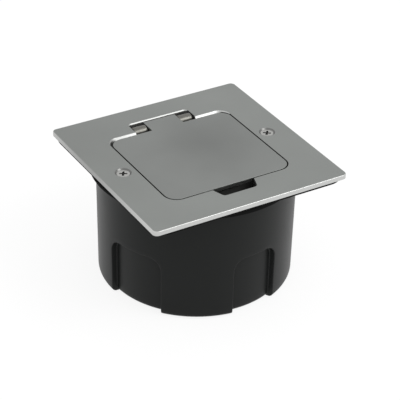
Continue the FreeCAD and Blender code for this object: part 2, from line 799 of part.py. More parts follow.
def make_pin_contact(side):
    """Spring jaws for one plug pin, with a tab for the terminal screw."""
    low = tab_bottom + contact_thickness / 2
    half_gap = (contact_gap + contact_thickness) / 2
    half_mouth = (contact_mouth_gap + contact_thickness) / 2
    waist = low + contact_height * 0.75
    top = low + contact_height
    points = [(-half_mouth, top), (-half_gap, waist), (-half_mouth, low),
              (half_mouth, low), (half_gap, waist), (half_mouth, top)]
    placed = [(socket_y + y, z) for y, z in strip_outline(points, contact_thickness)]
    near = side * (pin_hole_x - contact_width / 2)
    far = side * (pin_hole_x + contact_width / 2)
    jaws = side_profile(placed, min(near, far), max(near, far))
    tab_end = far + side * contact_tab_length
    tab = block(min(far, tab_end), max(far, tab_end), socket_y - half_gap, socket_y + half_gap,
                tab_bottom, tab_top)
    hole = rod(side * terminal_x, socket_y, tab_bottom, tab_top, terminal_screw_radius + thread_clearance)
    return cut(fused([jaws, tab]), [hole])


def make_earth_bracket():
    """Strap under the face whose two tongues reach up into the plug recess."""
    low = tab_bottom + contact_thickness / 2
    leg = recess_radius + earth_leg_inset - contact_thickness / 2
    bulge = recess_radius - earth_bulge + contact_thickness
    tip = face_top - earth_tip_drop
    knee = recess_floor + recess_depth / 3
    crest = recess_floor + recess_depth * 2 / 3
    points = [(-leg, tip), (-bulge, crest), (-leg, knee), (-leg, low),
              (leg, low), (leg, knee), (bulge, crest), (leg, tip)]
    placed = [(socket_y + y, z) for y, z in strip_outline(points, contact_thickness)]
    strap = side_profile(placed, -earth_width / 2, earth_width / 2)
    holes = [
        rod(0, socket_y, tab_bottom, tab_top, face_screw_radius + thread_clearance),
        rod(0, socket_y - earth_terminal_offset, tab_bottom, tab_top, terminal_screw_radius + thread_clearance),
    ]
    return cut(strap, holes)


def make_terminal_clamps():
    """Square wire clamps under the base."""
    half = clamp_side / 2
    clamps = []
    for x, y in terminal_places():
        plate = block(x - half, x + half, y - half, y + half, base_bottom - clamp_thickness, base_bottom)
        hole = rod(x, y, base_bottom - clamp_thickness, base_bottom, terminal_screw_radius + screw_hole_clearance)
        clamps.append(plate.cut(hole))
    return Part.makeCompound(clamps)


def make_terminal_screws():
    """Slotted screws that draw the clamps up against the base."""
    seat = base_bottom - clamp_thickness
    screws = []
    for x, y in terminal_places():
        head = rod(x, y, seat - terminal_head_height, seat, terminal_head_radius)
        shank = rod(x, y, seat, tab_top, terminal_screw_radius)
        slot = block(x - terminal_head_radius, x + terminal_head_radius, y - driver_slot_width / 2,
                     y + driver_slot_width / 2, seat - terminal_head_height,
                     seat - terminal_head_height + driver_slot_depth)
        screws.append(cut(fused([head, shank]), [slot]))
    return Part.makeCompound(screws)


def make_shutter():
    """Sliding plate that covers both pin holes, with ramps that the plug pins push aside."""
    low = base_deck + shutter_play
    high = cup_bottom - shutter_play
    half = shutter_width / 2
    front = socket_y - shutter_cover - shutter_notch_length
    rear = socket_y + shutter_back
    plate = block(-half, half, front, rear, low, high)
    edge = socket_y - shutter_cover
    tools = []
    for x in both_sides(pin_hole_x):
        x_low = x - shutter_notch_width / 2
        x_high = x + shutter_notch_width / 2
        tools.append(block(x_low, x_high, front, edge, low, high))
        ramp = [(edge, high - shutter_ramp_rise), (socket_y + shutter_cover, high), (edge, high)]
        tools.append(side_profile(ramp, x_low, x_high))
    slot_half = face_screw_radius + rail_clearance
    tools.append(block(-slot_half, slot_half, socket_y - shutter_travel - slot_half, socket_y + slot_half,
                       low, high))
    return cut(plate, tools)


def make_shutter_spring():
    """Small coil between the shutter and its rear stop."""
    pitch = (spring_length - 2 * spring_wire_radius) / spring_turns
    helix = Part.makeHelix(pitch, pitch * spring_turns, spring_coil_radius)
    wire = Part.Wire(helix.Edges)
    low = spring_coil_radius - spring_wire_radius
    high = spring_coil_radius + spring_wire_radius
    corners = [V(low, 0, -spring_wire_radius), V(high, 0, -spring_wire_radius),
               V(high, 0, spring_wire_radius), V(low, 0, spring_wire_radius)]
    section = Part.makePolygon(corners + corners[:1])
    coil = wire.makePipeShell([section], True, True)
    coil = coil.rotated(V(0, 0, 0), V(1, 0, 0), -90)
    start = socket_y + shutter_back + spring_end_gap + spring_wire_radius
    return coil.translated(V(0, start, (base_deck + cup_bottom) / 2))


def main():
    """Build every piece and write one file per node."""
    nodes = {
        "back_box": make_back_box(),
        "screw_inserts": make_screw_inserts(),
        "plate_gasket": make_plate_gasket(),
        "cover_plate": make_cover_plate(),
        "plate_screws": make_plate_screws(),
        "well_frame": make_well_frame(),
        "frame_screws": make_frame_screws(),
        "hinge_pin": make_hinge_pin(),
        "lid": make_lid(),
        "lid_gasket": make_lid_gasket(),
        "socket_face": make_socket_face(),
        "face_screw": make_face_screw(),
        "support_yoke": make_support_yoke(),
        "yoke_rivets": make_yoke_rivets(),
        "yoke_screws": make_yoke_screws(),
        "mechanism_base": make_mechanism_base(),
        "line_contact": make_pin_contact(-1),
        "neutral_contact": make_pin_contact(1),
        "earth_bracket": make_earth_bracket(),
        "terminal_clamps": make_terminal_clamps(),
        "terminal_screws": make_terminal_screws(),
        "shutter": make_shutter(),
        "shutter_spring": make_shutter_spring(),
    }
    os.makedirs("parts", exist_ok=True)
    for name, shape in nodes.items():
        shape.exportStep(os.path.join("parts", name + ".step"))
        print(f"{name}: {len(shape.Solids)} solid(s), {shape.Volume:.1f} mm3, valid {shape.isValid()}")


main()
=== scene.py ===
import json
import logging
import math
from dataclasses import dataclass, field
from enum import Enum, IntEnum
from functools import cache
from typing import ClassVar

import bpy
import numpy as np
from mathutils import Matrix, Vector
from mathutils.geometry import delaunay_2d_cdt


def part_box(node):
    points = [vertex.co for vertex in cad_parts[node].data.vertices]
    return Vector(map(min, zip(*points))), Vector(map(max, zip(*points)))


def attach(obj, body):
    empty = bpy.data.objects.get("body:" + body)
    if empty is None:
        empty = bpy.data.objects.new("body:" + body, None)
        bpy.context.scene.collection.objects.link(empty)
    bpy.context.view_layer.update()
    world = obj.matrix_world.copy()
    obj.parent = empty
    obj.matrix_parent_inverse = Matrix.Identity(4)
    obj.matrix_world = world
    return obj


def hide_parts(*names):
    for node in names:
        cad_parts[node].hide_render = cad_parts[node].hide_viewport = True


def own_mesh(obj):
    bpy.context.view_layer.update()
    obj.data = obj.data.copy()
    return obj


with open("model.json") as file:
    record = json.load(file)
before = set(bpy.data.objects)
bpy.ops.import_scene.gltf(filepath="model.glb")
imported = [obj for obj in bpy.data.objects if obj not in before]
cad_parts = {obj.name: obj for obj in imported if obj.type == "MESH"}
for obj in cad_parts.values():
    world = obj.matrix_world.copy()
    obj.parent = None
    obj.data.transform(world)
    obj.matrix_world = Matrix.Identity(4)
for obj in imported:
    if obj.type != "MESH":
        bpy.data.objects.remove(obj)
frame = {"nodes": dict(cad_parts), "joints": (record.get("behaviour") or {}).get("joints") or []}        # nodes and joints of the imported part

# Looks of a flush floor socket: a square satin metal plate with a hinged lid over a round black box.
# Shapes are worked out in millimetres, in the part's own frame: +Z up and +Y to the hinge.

Array = np.ndarray
Colour = tuple[float, float, float]
Point = tuple[float, float, float]
Pairs = list[tuple[float, float]]

LOG = logging.getLogger("floor_socket")
MM = 0.001
WELD = 1e-4
TINY = 1e-9
ARC_STEPS = 10
CIRCLE_STEPS = 72
INSIDE_WITH_HOLES = 2
SHARP_ANGLE = math.radians(32.0)
NOISE_MEAN = 0.5
BLACK = (0.0, 0.0, 0.0)
WHITE = (1.0, 1.0, 1.0)

# Places of the screws from the middle of the part, which other pieces are lined up with
PLATE_SCREW_X = 50.0
YOKE_SCREW_X = 30.0
SOCKET_Y = -2.6

# Numbers of a Mix node's colour sockets, because their names repeat
MIX_SHARE = 0
MIX_FIRST = 6
MIX_SECOND = 7
MIX_RESULT = 2


class Body(Enum):
    """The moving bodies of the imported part."""

    HOUSING = "housing"
    LID = "lid"
    SHUTTER = "shutter"


class Grain(Enum):
    """Direction in which a metal finish is brushed, as the stretch of its pattern along X, Y and Z."""

    ALONG_X = (0.012, 1.0, 1.0)
    ALONG_Z = (1.0, 1.0, 0.03)
    EVEN = (1.0, 1.0, 1.0)


class Octaves(Enum):
    """Character of a noise pattern, as its detail and the roughness of that detail."""

    SMOOTH = (2.0, 0.45)
    EVEN = (2.0, 0.5)
    SOFT = (3.0, 0.55)
    FINE = (3.0, 0.6)
    MOTTLED = (4.0, 0.6)
    ROUGH = (4.0, 0.7)


def joint_of(body: Body) -> dict:
    """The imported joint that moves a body."""
    return next(joint for joint in frame["joints"] if joint["child"] == body.value)


# Shader arithmetic and finishes


class Signal:
    """Output of a shader node that takes part in arithmetic: each operator adds one Math node."""

    def __init__(self, tree: bpy.types.NodeTree, socket: bpy.types.NodeSocket) -> None:
        """Wrap one socket of a tree."""
        self.tree = tree
        self.socket = socket

    def math(self, operation: str, first: "Signal | float", second: "Signal | float") -> "Signal":
        """Add a Math node.

        Args:
            operation: Blender's name of the operation.
            first: First value.
            second: Second value.

        Returns:
            The node's result.
        """
        node = self.tree.nodes.new("ShaderNodeMath")
        node.operation = operation
        for socket, value in zip(node.inputs, (first, second)):
            plug(self.tree, value, socket)
        return Signal(self.tree, node.outputs[0])

    def __add__(self, other: "Signal | float") -> "Signal":
        """Sum of two values."""
        return self.math("ADD", self, other)

    def __sub__(self, other: "Signal | float") -> "Signal":
        """Difference of two values."""
        return self.math("SUBTRACT", self, other)

    def __rsub__(self, other: float) -> "Signal":
        """Number less this value."""
        return self.math("SUBTRACT", other, self)

    def __mul__(self, other: "Signal | float") -> "Signal":
        """Product of two values."""
        return self.math("MULTIPLY", self, other)

    __radd__ = __add__
    __rmul__ = __mul__


def plug(tree: bpy.types.NodeTree, value: "Signal | float | Colour", socket: bpy.types.NodeSocket) -> None:
    """Link a signal to a socket, or set the socket to a constant.

    Args:
        tree: Tree that holds the socket.
        value: Signal, number, colour or vector.
        socket: Input socket.
    """
    if isinstance(value, Signal):
        tree.links.new(value.socket, socket)
    elif isinstance(value, tuple) and socket.type == "RGBA":
        socket.default_value = (*value, 1.0)
    else:
        socket.default_value = value


class FinishTree:
    """Node tree of one material, with a Principled shader as its surface."""

    def __init__(self, name: str) -> None:
        """Start a material.

        Args:
            name: Name of the material.
        """
        self.material = bpy.data.materials.new(name)
        self.material.use_nodes = True
        self.tree = self.material.node_tree
        self.shader = self.tree.nodes["Principled BSDF"]

    def node(self, kind: str, settings: dict, sockets: dict, output: int | str = 0) -> Signal:
        """Add any node but a Math node.

        Args:
            kind: Blender's type name of the node.
            settings: Properties, set before the sockets.
            sockets: Values or signals by socket name or number.
            output: Name or number of the output to return.

        Returns:
            The chosen output.
        """
        node = self.tree.nodes.new(kind)
        for name, value in settings.items():
            setattr(node, name, value)
        for name, value in sockets.items():
            plug(self.tree, value, node.inputs[name])
        return Signal(self.tree, node.outputs[output])

    def surface(self, sockets: dict) -> bpy.types.Material:
        """Set the shader's sockets.

        Args:
            sockets: Values or signals by socket name.

        Returns:
            The material.
        """
        for name, value in sockets.items():
            plug(self.tree, value, self.shader.inputs[name])
        return self.material

    def place(self, grain: Grain = Grain.EVEN) -> Signal:
        """Object coordinates, stretched along the axes."""
        coordinates = self.node("ShaderNodeTexCoord", {}, {}, "Object")
        return self.node("ShaderNodeMapping", {}, {"Vector": coordinates, "Scale": grain.value})

    def noise(self, where: Signal, size: float, octaves: Octaves = Octaves.EVEN) -> Signal:
        """Noise from 0 to 1.

        Args:
            where: Coordinates.
            size: Rough size of the pattern's features in millimetres.
            octaves: Character of the pattern.

        Returns:
            The noise.
        """
        detail, roughness = octaves.value
        sockets = {"Vector": where, "Scale": 1 / (size * MM), "Detail": detail, "Roughness": roughness}
        return self.node("ShaderNodeTexNoise", {}, sockets)

    def band(self, value: Signal, low: float, high: float) -> Signal:
        """Value stretched so that low becomes 0 and high becomes 1, with a smooth ramp between."""
        sockets = {"Value": value, "From Min": low, "From Max": high}
        return self.node("ShaderNodeMapRange", {"interpolation_type": "SMOOTHSTEP"}, sockets)

    def blend(self, share: Signal, first: Colour | Signal, second: Colour | Signal) -> Signal:
        """Mix of two colours."""
        sockets = {MIX_SHARE: share, MIX_FIRST: first, MIX_SECOND: second}
        return self.node("ShaderNodeMix", {"data_type": "RGBA"}, sockets, MIX_RESULT)

    def patch(self, where: Signal, centre: Point, radius: float) -> Signal:
        """Soft round patch, 1 at its centre and 0 from its radius on.

        Args:
            where: Coordinates.
            centre: Centre in millimetres.
            radius: Radius in millimetres.

        Returns:
            The patch.
        """
        middle = tuple(value * MM for value in centre)
        operation = {"operation": "DISTANCE"}
        distance = self.node("ShaderNodeVectorMath", operation, {0: where, 1: middle}, "Value")
        return 1 - self.band(distance, 0.0, radius * MM)

    def bump(self, height: Signal, depth: float) -> Signal:
        """Normal of a height pattern with the given depth in millimetres."""
        return self.node("ShaderNodeBump", {}, {"Height": height, "Distance": depth * MM, "Strength": 1.0})


def shade(colour: Colour, factor: float) -> Colour:
    """Colour made lighter or darker by a factor."""
    return tuple(min(channel * factor, 1.0) for channel in colour)


@dataclass(frozen=True)
class Finish:
    """Look of a surface, as a colour and a roughness that each kind of finish varies in its own way."""

    name: str
    colour: Colour
    roughness: float

    def sockets(self, tree: FinishTree) -> dict:
        """Values and signals for the shader, by socket name."""
        raise NotImplementedError

    def toned(self, tree: FinishTree, share: Signal, tones: tuple[float, float]) -> Signal:
        """Colour that drifts from one tone of the finish to another by a share."""
        return tree.blend(share, *(shade(self.colour, tone) for tone in tones))

    @cache
    def material(self) -> bpy.types.Material:
        """The material, made once."""
        tree = FinishTree(self.name)
        return tree.surface(self.sockets(tree))


@dataclass(frozen=True)
class MetalFinish(Finish):
    """Metal with fine brushed lines, faint clouds, sparse scuffs and a broad patch of painted shade."""

    grain: Grain
    line_size: float = 0.16
    line_contrast: float = 0.05
    cloud_size: float = 16.0
    cloud_contrast: float = 0.05
    line_depth: float = 0.004
    # Broad round patch of painted shade: the colour darkens towards black at its centre
    painted_shade_centre: Point = (0.0, 0.0, 0.0)
    painted_shade_radius: float = 1.0
    painted_shade_depth: float = 0.0
    scuff_scale: float = 5.0
    scuff_low: float = 0.62
    scuff_high: float = 0.8
    scuff_share: float = 0.12
    line_dulling: float = 0.1
    cloud_dulling: float = 0.06
    scuff_polish: float = 0.04

    def sockets(self, tree: FinishTree) -> dict:
        """Metal whose colour and roughness follow stretched noise lines and broad clouds.

        Args:
            tree: Tree that takes the nodes.

        Returns:
            Values and signals by socket name.
        """
        lines = tree.noise(tree.place(self.grain), self.line_size, Octaves.FINE)
        clouds = tree.noise(tree.place(), self.cloud_size, Octaves.SMOOTH)
        marks = tree.noise(tree.place(self.grain), self.line_size * self.scuff_scale, Octaves.ROUGH)
        scuffs = tree.band(marks, self.scuff_low, self.scuff_high)
        spread = self.line_contrast + self.cloud_contrast
        pattern = (lines * self.line_contrast + clouds * self.cloud_contrast) * (1 / spread)
        share = pattern + scuffs * self.scuff_share
        colour = self.toned(tree, share, (1 - spread, 1 + spread))
        # Painted shade: the colour blends towards black inside the broad patch
        painted_shade = tree.patch(tree.place(), self.painted_shade_centre, self.painted_shade_radius) * self.painted_shade_depth
        uneven = (lines - NOISE_MEAN) * self.line_dulling + (clouds - NOISE_MEAN) * self.cloud_dulling
        return {
            "Base Color": tree.blend(painted_shade, colour, BLACK),
            "Metallic": 1.0,
            "Roughness": self.roughness + uneven - scuffs * self.scuff_polish,
            "Normal": tree.bump(lines, self.line_depth),
        }


@dataclass(frozen=True)
class MouldedFinish(Finish):
    """Moulded plastic with a fine eroded grain, faint flow marks and specks of dust."""

    gloss: float = 0.5
    grain_size: float = 0.45
    grain_depth: float = 0.012
    flow_size: float = 26.0
    dust_scale: float = 3.0
    dust_low: float = 0.66
    dust_high: float = 0.78
    flow_share: float = 0.7
    grain_share: float = 0.2
    dust_share: float = 0.35
    tones: tuple[float, float] = (0.82, 1.3)
    flow_dulling: float = 0.1
    grain_dulling: float = 0.12

    def sockets(self, tree: FinishTree) -> dict:
        """Plastic whose fine grain shapes the normal and whose flow marks shift colour and roughness.

        Args:
            tree: Tree that takes the nodes.

        Returns:
            Values and signals by socket name.
        """
        place = tree.place()
        grain = tree.noise(place, self.grain_size, Octaves.FINE)
        flow = tree.noise(place, self.flow_size)
        dust = tree.band(tree.noise(place, self.grain_size * self.dust_scale), self.dust_low, self.dust_high)
        share = flow * self.flow_share + grain * self.grain_share + dust * self.dust_share
        uneven = (flow - NOISE_MEAN) * self.flow_dulling + (grain - NOISE_MEAN) * self.grain_dulling
        return {
            "Base Color": self.toned(tree, share, self.tones),
            "Roughness": self.roughness + uneven,
            "Specular IOR Level": self.gloss,
            "Normal": tree.bump(grain, self.grain_depth),
        }


@dataclass(frozen=True)
class PlatedFinish(Finish):
    """Plated or bare small metal parts, with a mottled lustre and patches of tarnish."""

    tint: Colour
    mottle_size: float = 0.9
    mark_scale: float = 1 / 6
    mark_depth: float = 0.003
    tarnish_scale: float = 4.0
    tarnish_low: float = 0.45
    tarnish_high: float = 0.75
    mottle_share: float = 0.6
    tarnish_share: float = 0.5
    mottle_dulling: float = 0.14
    tarnish_dulling: float = 0.06

    def sockets(self, tree: FinishTree) -> dict:
        """Metal that drifts between two tints and two levels of polish.

        Args:
            tree: Tree that takes the nodes.

        Returns:
            Values and signals by socket name.
        """
        place = tree.place()
        mottle = tree.noise(place, self.mottle_size, Octaves.MOTTLED)
        marks = tree.noise(place, self.mottle_size * self.mark_scale)
        clouds = tree.noise(place, self.mottle_size * self.tarnish_scale, Octaves.FINE)
        tarnish = tree.band(clouds, self.tarnish_low, self.tarnish_high)
        share = mottle * self.mottle_share + tarnish * self.tarnish_share
        uneven = (mottle - NOISE_MEAN) * self.mottle_dulling + tarnish * self.tarnish_dulling
        return {
            "Base Color": tree.blend(share, self.colour, self.tint),
            "Metallic": 1.0,
            "Roughness": self.roughness + uneven,
            "Normal": tree.bump(marks, self.mark_depth),
        }


@dataclass(frozen=True)
class RubberFinish(Finish):
    """Matt seal rubber with a fine bloom."""

    gloss: float = 0.1
    fine_size: float = 0.3
    fine_depth: float = 0.01
    bloom_size: float = 5.0
    bloom_low: float = 0.4
    bloom_high: float = 0.8
    bloom_share: float = 0.5
    fine_share: float = 0.2
    tones: tuple[float, float] = (0.8, 1.8)
    bloom_dulling: float = 0.08

    def sockets(self, tree: FinishTree) -> dict:
        """Dull dark surface with a pale bloom in patches.

        Args:
            tree: Tree that takes the nodes.

        Returns:
            Values and signals by socket name.
        """
        place = tree.place()
        fine = tree.noise(place, self.fine_size, Octaves.FINE)
        bloom = tree.band(tree.noise(place, self.bloom_size, Octaves.SOFT), self.bloom_low, self.bloom_high)
        share = bloom * self.bloom_share + fine * self.fine_share
        return {
            "Base Color": self.toned(tree, share, self.tones),
            "Roughness": self.roughness + bloom * self.bloom_dulling,
            "Specular IOR Level": self.gloss,
            "Normal": tree.bump(fine, self.fine_depth),
        }


# The broad patches set by centre, radius and depth below are painted shade: on the plate's rear left, the
# lid's right, the left edge and the left slope
SATIN_PLATE = MetalFinish(
    "satin_plate", (0.262, 0.273, 0.263), 0.40, Grain.ALONG_X, cloud_size=44.0, cloud_contrast=0.11,
    painted_shade_centre=(-45.0, 50.0, 80.0), painted_shade_radius=110.0, painted_shade_depth=0.09)
SATIN_LID = MetalFinish(
    "satin_lid", (0.238, 0.247, 0.239), 0.42, Grain.ALONG_X, cloud_size=34.0, cloud_contrast=0.13,
    painted_shade_centre=(14.0, 5.0, 80.0), painted_shade_radius=48.0, painted_shade_depth=0.2)
# Machined edge, lighter than the face: partly the bare cut metal, partly a painted highlight where the edges
# catch the light
MACHINED_EDGE_AND_HIGHLIGHT = MetalFinish(
    "machined_edge_and_highlight", (0.57, 0.575, 0.565), 0.34, Grain.EVEN, 0.12, 0.06, 9.0, 0.05,
    painted_shade_centre=(-65.0, 15.0, 78.5), painted_shade_radius=85.0, painted_shade_depth=0.4)
# Slopes and the bay's rear wall: machined metal, made lighter as painted light falling from the front
MACHINED_SLOPE_PAINTED_LIGHT = MetalFinish(
    "machined_slope_painted_light", (0.50, 0.505, 0.495), 0.45, Grain.EVEN, 0.12, 0.07, 5.0, 0.1,
    painted_shade_centre=(-40.0, 37.0, 79.0), painted_shade_radius=26.0, painted_shade_depth=0.3)
MACHINED_BAY_PAINTED_LIGHT = MetalFinish("machined_bay_painted_light", (0.42, 0.425, 0.415), 0.45, Grain.EVEN, 0.12, 0.07, 5.0, 0.1)
# Rest of the opening wall: the same machined metal, darkened as painted shade
OPENING_WALL_PAINTED_SHADE = MetalFinish("opening_wall_painted_shade", (0.13, 0.132, 0.13), 0.5, Grain.ALONG_Z, 0.14, 0.1, 6.0, 0.06)
# Countersink walls: the plate's metal darkened as painted shade in the cones
SINK_PAINTED_SHADE = MetalFinish("sink_painted_shade", (0.17, 0.171, 0.167), 0.36, Grain.EVEN, 0.1, 0.1, 2.0, 0.1)
SCREW_STEEL = PlatedFinish("screw_steel", (0.44, 0.44, 0.427), 0.22, (0.30, 0.30, 0.29))
# Dark steel painted as shade in the depth of the screws' cross recesses
RECESS_PAINTED_SHADE = PlatedFinish("recess_painted_shade", (0.06, 0.06, 0.057), 0.34, (0.03, 0.03, 0.029))
PIN_STEEL = PlatedFinish("pin_steel", (0.185, 0.182, 0.166), 0.36, (0.115, 0.112, 0.10))
BRIGHT_STEEL = PlatedFinish("bright_steel", (0.42, 0.42, 0.40), 0.26, (0.26, 0.26, 0.24))
ZINC_STEEL = PlatedFinish("zinc_steel", (0.47, 0.48, 0.49), 0.34, (0.36, 0.37, 0.37))
BRASS = PlatedFinish("contact_brass", (0.74, 0.56, 0.27), 0.3, (0.55, 0.38, 0.17))
BOX_PLASTIC = MouldedFinish("box_plastic", (0.0076, 0.0085, 0.0081), 0.37, 0.16)
# Flange: the box's plastic made matt, with its colour darkened as painted shade under the plate
FLANGE_PAINTED_SHADE = MouldedFinish("flange_painted_shade", (0.0045, 0.0048, 0.0046), 0.75, 0.05)
FRAME_PLASTIC = MouldedFinish("frame_plastic", (0.038, 0.039, 0.037), 0.5, 0.3)
SOCKET_PLASTIC = MouldedFinish("socket_plastic", (0.035, 0.036, 0.038), 0.34, 0.45, 0.3, 0.004)
BASE_PLASTIC = MouldedFinish("base_plastic", (0.42, 0.42, 0.41), 0.45, 0.4)
SHUTTER_PLASTIC = MouldedFinish("shutter_plastic", (0.09, 0.09, 0.1), 0.42, 0.4)
SEAL_RUBBER = RubberFinish("seal_rubber", (0.005, 0.005, 0.005), 0.78)


# Outlines and profiles


def points_at(*coordinates: Array | float) -> Array:
    """Points from two or three coordinates, where one number may stand for a whole array."""
    return np.stack(np.broadcast_arrays(*coordinates), -1)


def directions(angle: Array) -> Array:
    """Flat unit vectors at the given angles."""
    return points_at(np.cos(angle), np.sin(angle))


def full_turn(steps: int) -> Array:
    """Angles once round, without a repeated last one."""
    return np.linspace(0, 2 * math.pi, steps, endpoint=False)


def quarter_turn(steps: int) -> Array:
    """Angles from 0 to a right angle, both included."""
    return np.linspace(0, math.pi / 2, steps)


def raised(flat: Array, height: float) -> Array:
    """Points of (x, y) lifted to one height."""
    return points_at(*flat.T, height)


def upright(flat: Array, x: float) -> Array:
    """Points of (y, z) set at one x."""
    return points_at(x, *flat.T)


@dataclass(frozen=True)
class Outline:
    """Closed flat outline, anticlockwise: corner points, each with a radius."""

    corners: tuple[tuple[float, float], ...]
    radii: tuple[float, ...]

    def loop(self, grow: float = 0.0) -> Array:
        """Points of the outline with every side moved outward.

        A side is a line n.p = c with outward normal n. Growing adds to c, a corner is where two such lines
        meet, and its arc is centre + radius * n turned from one side's normal to the next.

        Args:
            grow: Distance by which the sides move, negative for inward.

        Returns:
            Points as an array of (x, y).
        """
        points = np.array(self.corners, float)
        along = np.roll(points, -1, 0) - points
        along /= np.linalg.norm(along, axis=1, keepdims=True)
        after = np.column_stack([along[:, 1], -along[:, 0]])
        before = np.roll(after, 1, 0)
        cosine = np.sum(before * after, 1)
        turn = np.arctan2(before[:, 0] * after[:, 1] - before[:, 1] * after[:, 0], cosine)
        side = np.sign(turn)
        spread = (before + after) / (1 + cosine[:, None])
        radius = np.maximum(np.array(self.radii) + side * grow, 0.0) * (np.abs(turn) > TINY)
        centre = points + grow * spread - (side * radius)[:, None] * spread
        start = np.arctan2(before[:, 1], before[:, 0])[:, None]
        angle = start + turn[:, None] * np.linspace(0, 1, ARC_STEPS + 1)
        arc = directions(angle) * (side * radius)[:, None, None]
        return (centre[:, None, :] + arc).reshape(-1, 2)


@dataclass(frozen=True)
class Circle:
    """Round outline."""

    x: float
    y: float
    radius: float

    def loop(self, grow: float = 0.0) -> Array:
        """Points of the circle, anticlockwise, with its radius grown."""
        return (self.x, self.y) + (self.radius + grow) * directions(full_turn(CIRCLE_STEPS))


def rectangle(x_low: float, x_high: float, y_low: float, y_high: float, radius: float) -> Outline:
    """Rectangle with four equal round corners."""
    corners = ((x_high, y_low), (x_high, y_high), (x_low, y_high), (x_low, y_low))
    return Outline(corners, (radius,) * len(corners))


def wall(outline: Outline | Circle, profile: Pairs) -> Array:
    """Grid of a profile of (outward growth, height) pairs, lower end first, carried round an outline."""
    return np.stack([raised(outline.loop(grow), height) for grow, height in profile])


def turned(profile: Pairs, angle: Array) -> Array:
    """Grid of a profile of (radius, height) pairs turned round the Z axis, with a column for each angle."""
    radius, height = np.array(profile, float).T[..., None]
    return points_at(radius * np.cos(angle), radius * np.sin(angle), height)


def round_over(radius: float, top: float, steps: int = 4) -> Pairs:
    """Quarter circle from a wall up to a flat top, as growth and height pairs."""
    angle = quarter_turn(steps + 1)
    return list(zip(-radius * (1 - np.cos(angle)), top - radius * (1 - np.sin(angle))))


# Meshes


@dataclass
class Surface:
    """Grids and flat fills that are welded into one mesh."""

    points: list[Array] = field(default_factory=list)
    faces: list[Array] = field(default_factory=list)
    finishes: list[Array] = field(default_factory=list)
    count: int = 0

    def add(self, points: Array, faces: Array, finish: int | Array) -> None:
        """Add points and the faces between them.

        Args:
            points: Array of (x, y, z) in millimetres.
            faces: Array of four point numbers each, the last two equal in a triangle.
            finish: Number of the material slot, or one number for each face.
        """
        self.points.append(points)
        self.faces.append(faces + self.count)
        self.finishes.append(np.full(len(faces), finish))
        self.count += len(points)

    def grid(self, points: Array, closed: bool = True, flip: bool = False, finish: int | Array = 0) -> None:
        """Add a grid whose faces point to the right of its columns when its rows go up.

        Args:
            points: Array of rows, columns and (x, y, z).
            closed: Whether the last column joins the first.
            flip: Whether the faces point the other way.
            finish: Number of the material slot, or one number for each face, row by row.
        """
        rows, columns = points.shape[:2]
        first = np.arange(columns if closed else columns - 1)
        second = (first + 1) % columns
        low = np.arange(rows - 1)[:, None] * columns
        high = low + columns
        faces = np.stack([low + first, low + second, high + second, high + first], -1).reshape(-1, 4)
        self.add(points.reshape(-1, 3), faces[:, ::-1] if flip else faces, finish)

    def fill(self, loops: list[Array], height: float, up: bool = True) -> None:
        """Add a level face inside the first loop and outside the others, from their x and y."""
        points, faces = triangulated([loop[:, :2] for loop in loops])
        self.add(raised(points, height), faces if up else faces[:, ::-1], 0)

    def end_face(self, loops: list[Array], x: float) -> None:
        """Add an upright face at one x from loops of (y, z), pointing away from x = 0."""
        points, faces = triangulated(loops)
        self.add(upright(points, x), faces if x > 0 else faces[:, ::-1], 0)

    def mesh(self, name: str) -> bpy.types.Mesh:
        """Weld everything into one mesh in metres.

        Points that agree to a tenth of a micrometre become one, and faces that lose a corner become
        triangles.

        Args:
            name: Name of the mesh.

        Returns:
            The mesh, smooth apart from its sharp edges.
        """
        points = np.concatenate(self.points)
        keys = np.round(points / WELD).astype(np.int64)
        _, index, inverse = np.unique(keys, axis=0, return_index=True, return_inverse=True)
        faces = inverse.reshape(-1)[np.concatenate(self.faces)]
        finishes = np.concatenate(self.finishes)
        repeats = faces == np.roll(faces, -1, 1)
        whole = ~repeats.any(1)
        halved = repeats.sum(1) == 1
        kept = faces[halved][~repeats[halved]].reshape(-1, 3)
        mesh = bpy.data.meshes.new(name)
        mesh.from_pydata((points[index] * MM).tolist(), [], faces[whole].tolist() + kept.tolist())
        mesh.polygons.foreach_set("material_index", np.concatenate([finishes[whole], finishes[halved]]))
        mesh.polygons.foreach_set("use_smooth", np.ones(len(mesh.polygons), bool))
        mesh.set_sharp_from_angle(angle=SHARP_ANGLE)
        mesh.update()
        return mesh


def triangulated(loops: list[Array]) -> tuple[Array, Array]:
    """Triangles inside the first loop and outside the others.

    Args:
        loops: Arrays of flat points.

    Returns:
        Points and anticlockwise triangles, each written as four numbers with the last repeated.
    """
    tidy = [loop[np.linalg.norm(loop - np.roll(loop, 1, 0), axis=1) > WELD] for loop in loops]
    ends = np.cumsum([len(loop) for loop in tidy])
    rings = [np.arange(end - len(loop), end).tolist() for loop, end in zip(tidy, ends)]
    flat = np.concatenate(tidy)
    vectors = [Vector(point) for point in flat]
    _, _, faces, origins, *_ = delaunay_2d_cdt(vectors, [], rings, INSIDE_WITH_HOLES, TINY)
    points = flat[[origin[0] for origin in origins]]
    corners = np.array(faces, int)
    one, two, three = points[corners[:, 0]], points[corners[:, 1]], points[corners[:, 2]]
    area = np.cross(two - one, three - one)
    corners[area < 0] = corners[area < 0][:, ::-1]
    return points, corners[:, [0, 1, 2, 2]]


# Sub-assemblies


def put(name: str, data: bpy.types.ID) -> bpy.types.Object:
    """Add an object to the scene, at the origin.

    Args:
        name: Name of the object.
        data: Its mesh, lamp or camera.

    Returns:
        The new object.
    """
    thing = bpy.data.objects.new(name, data)
    bpy.context.scene.collection.objects.link(thing)
    return thing


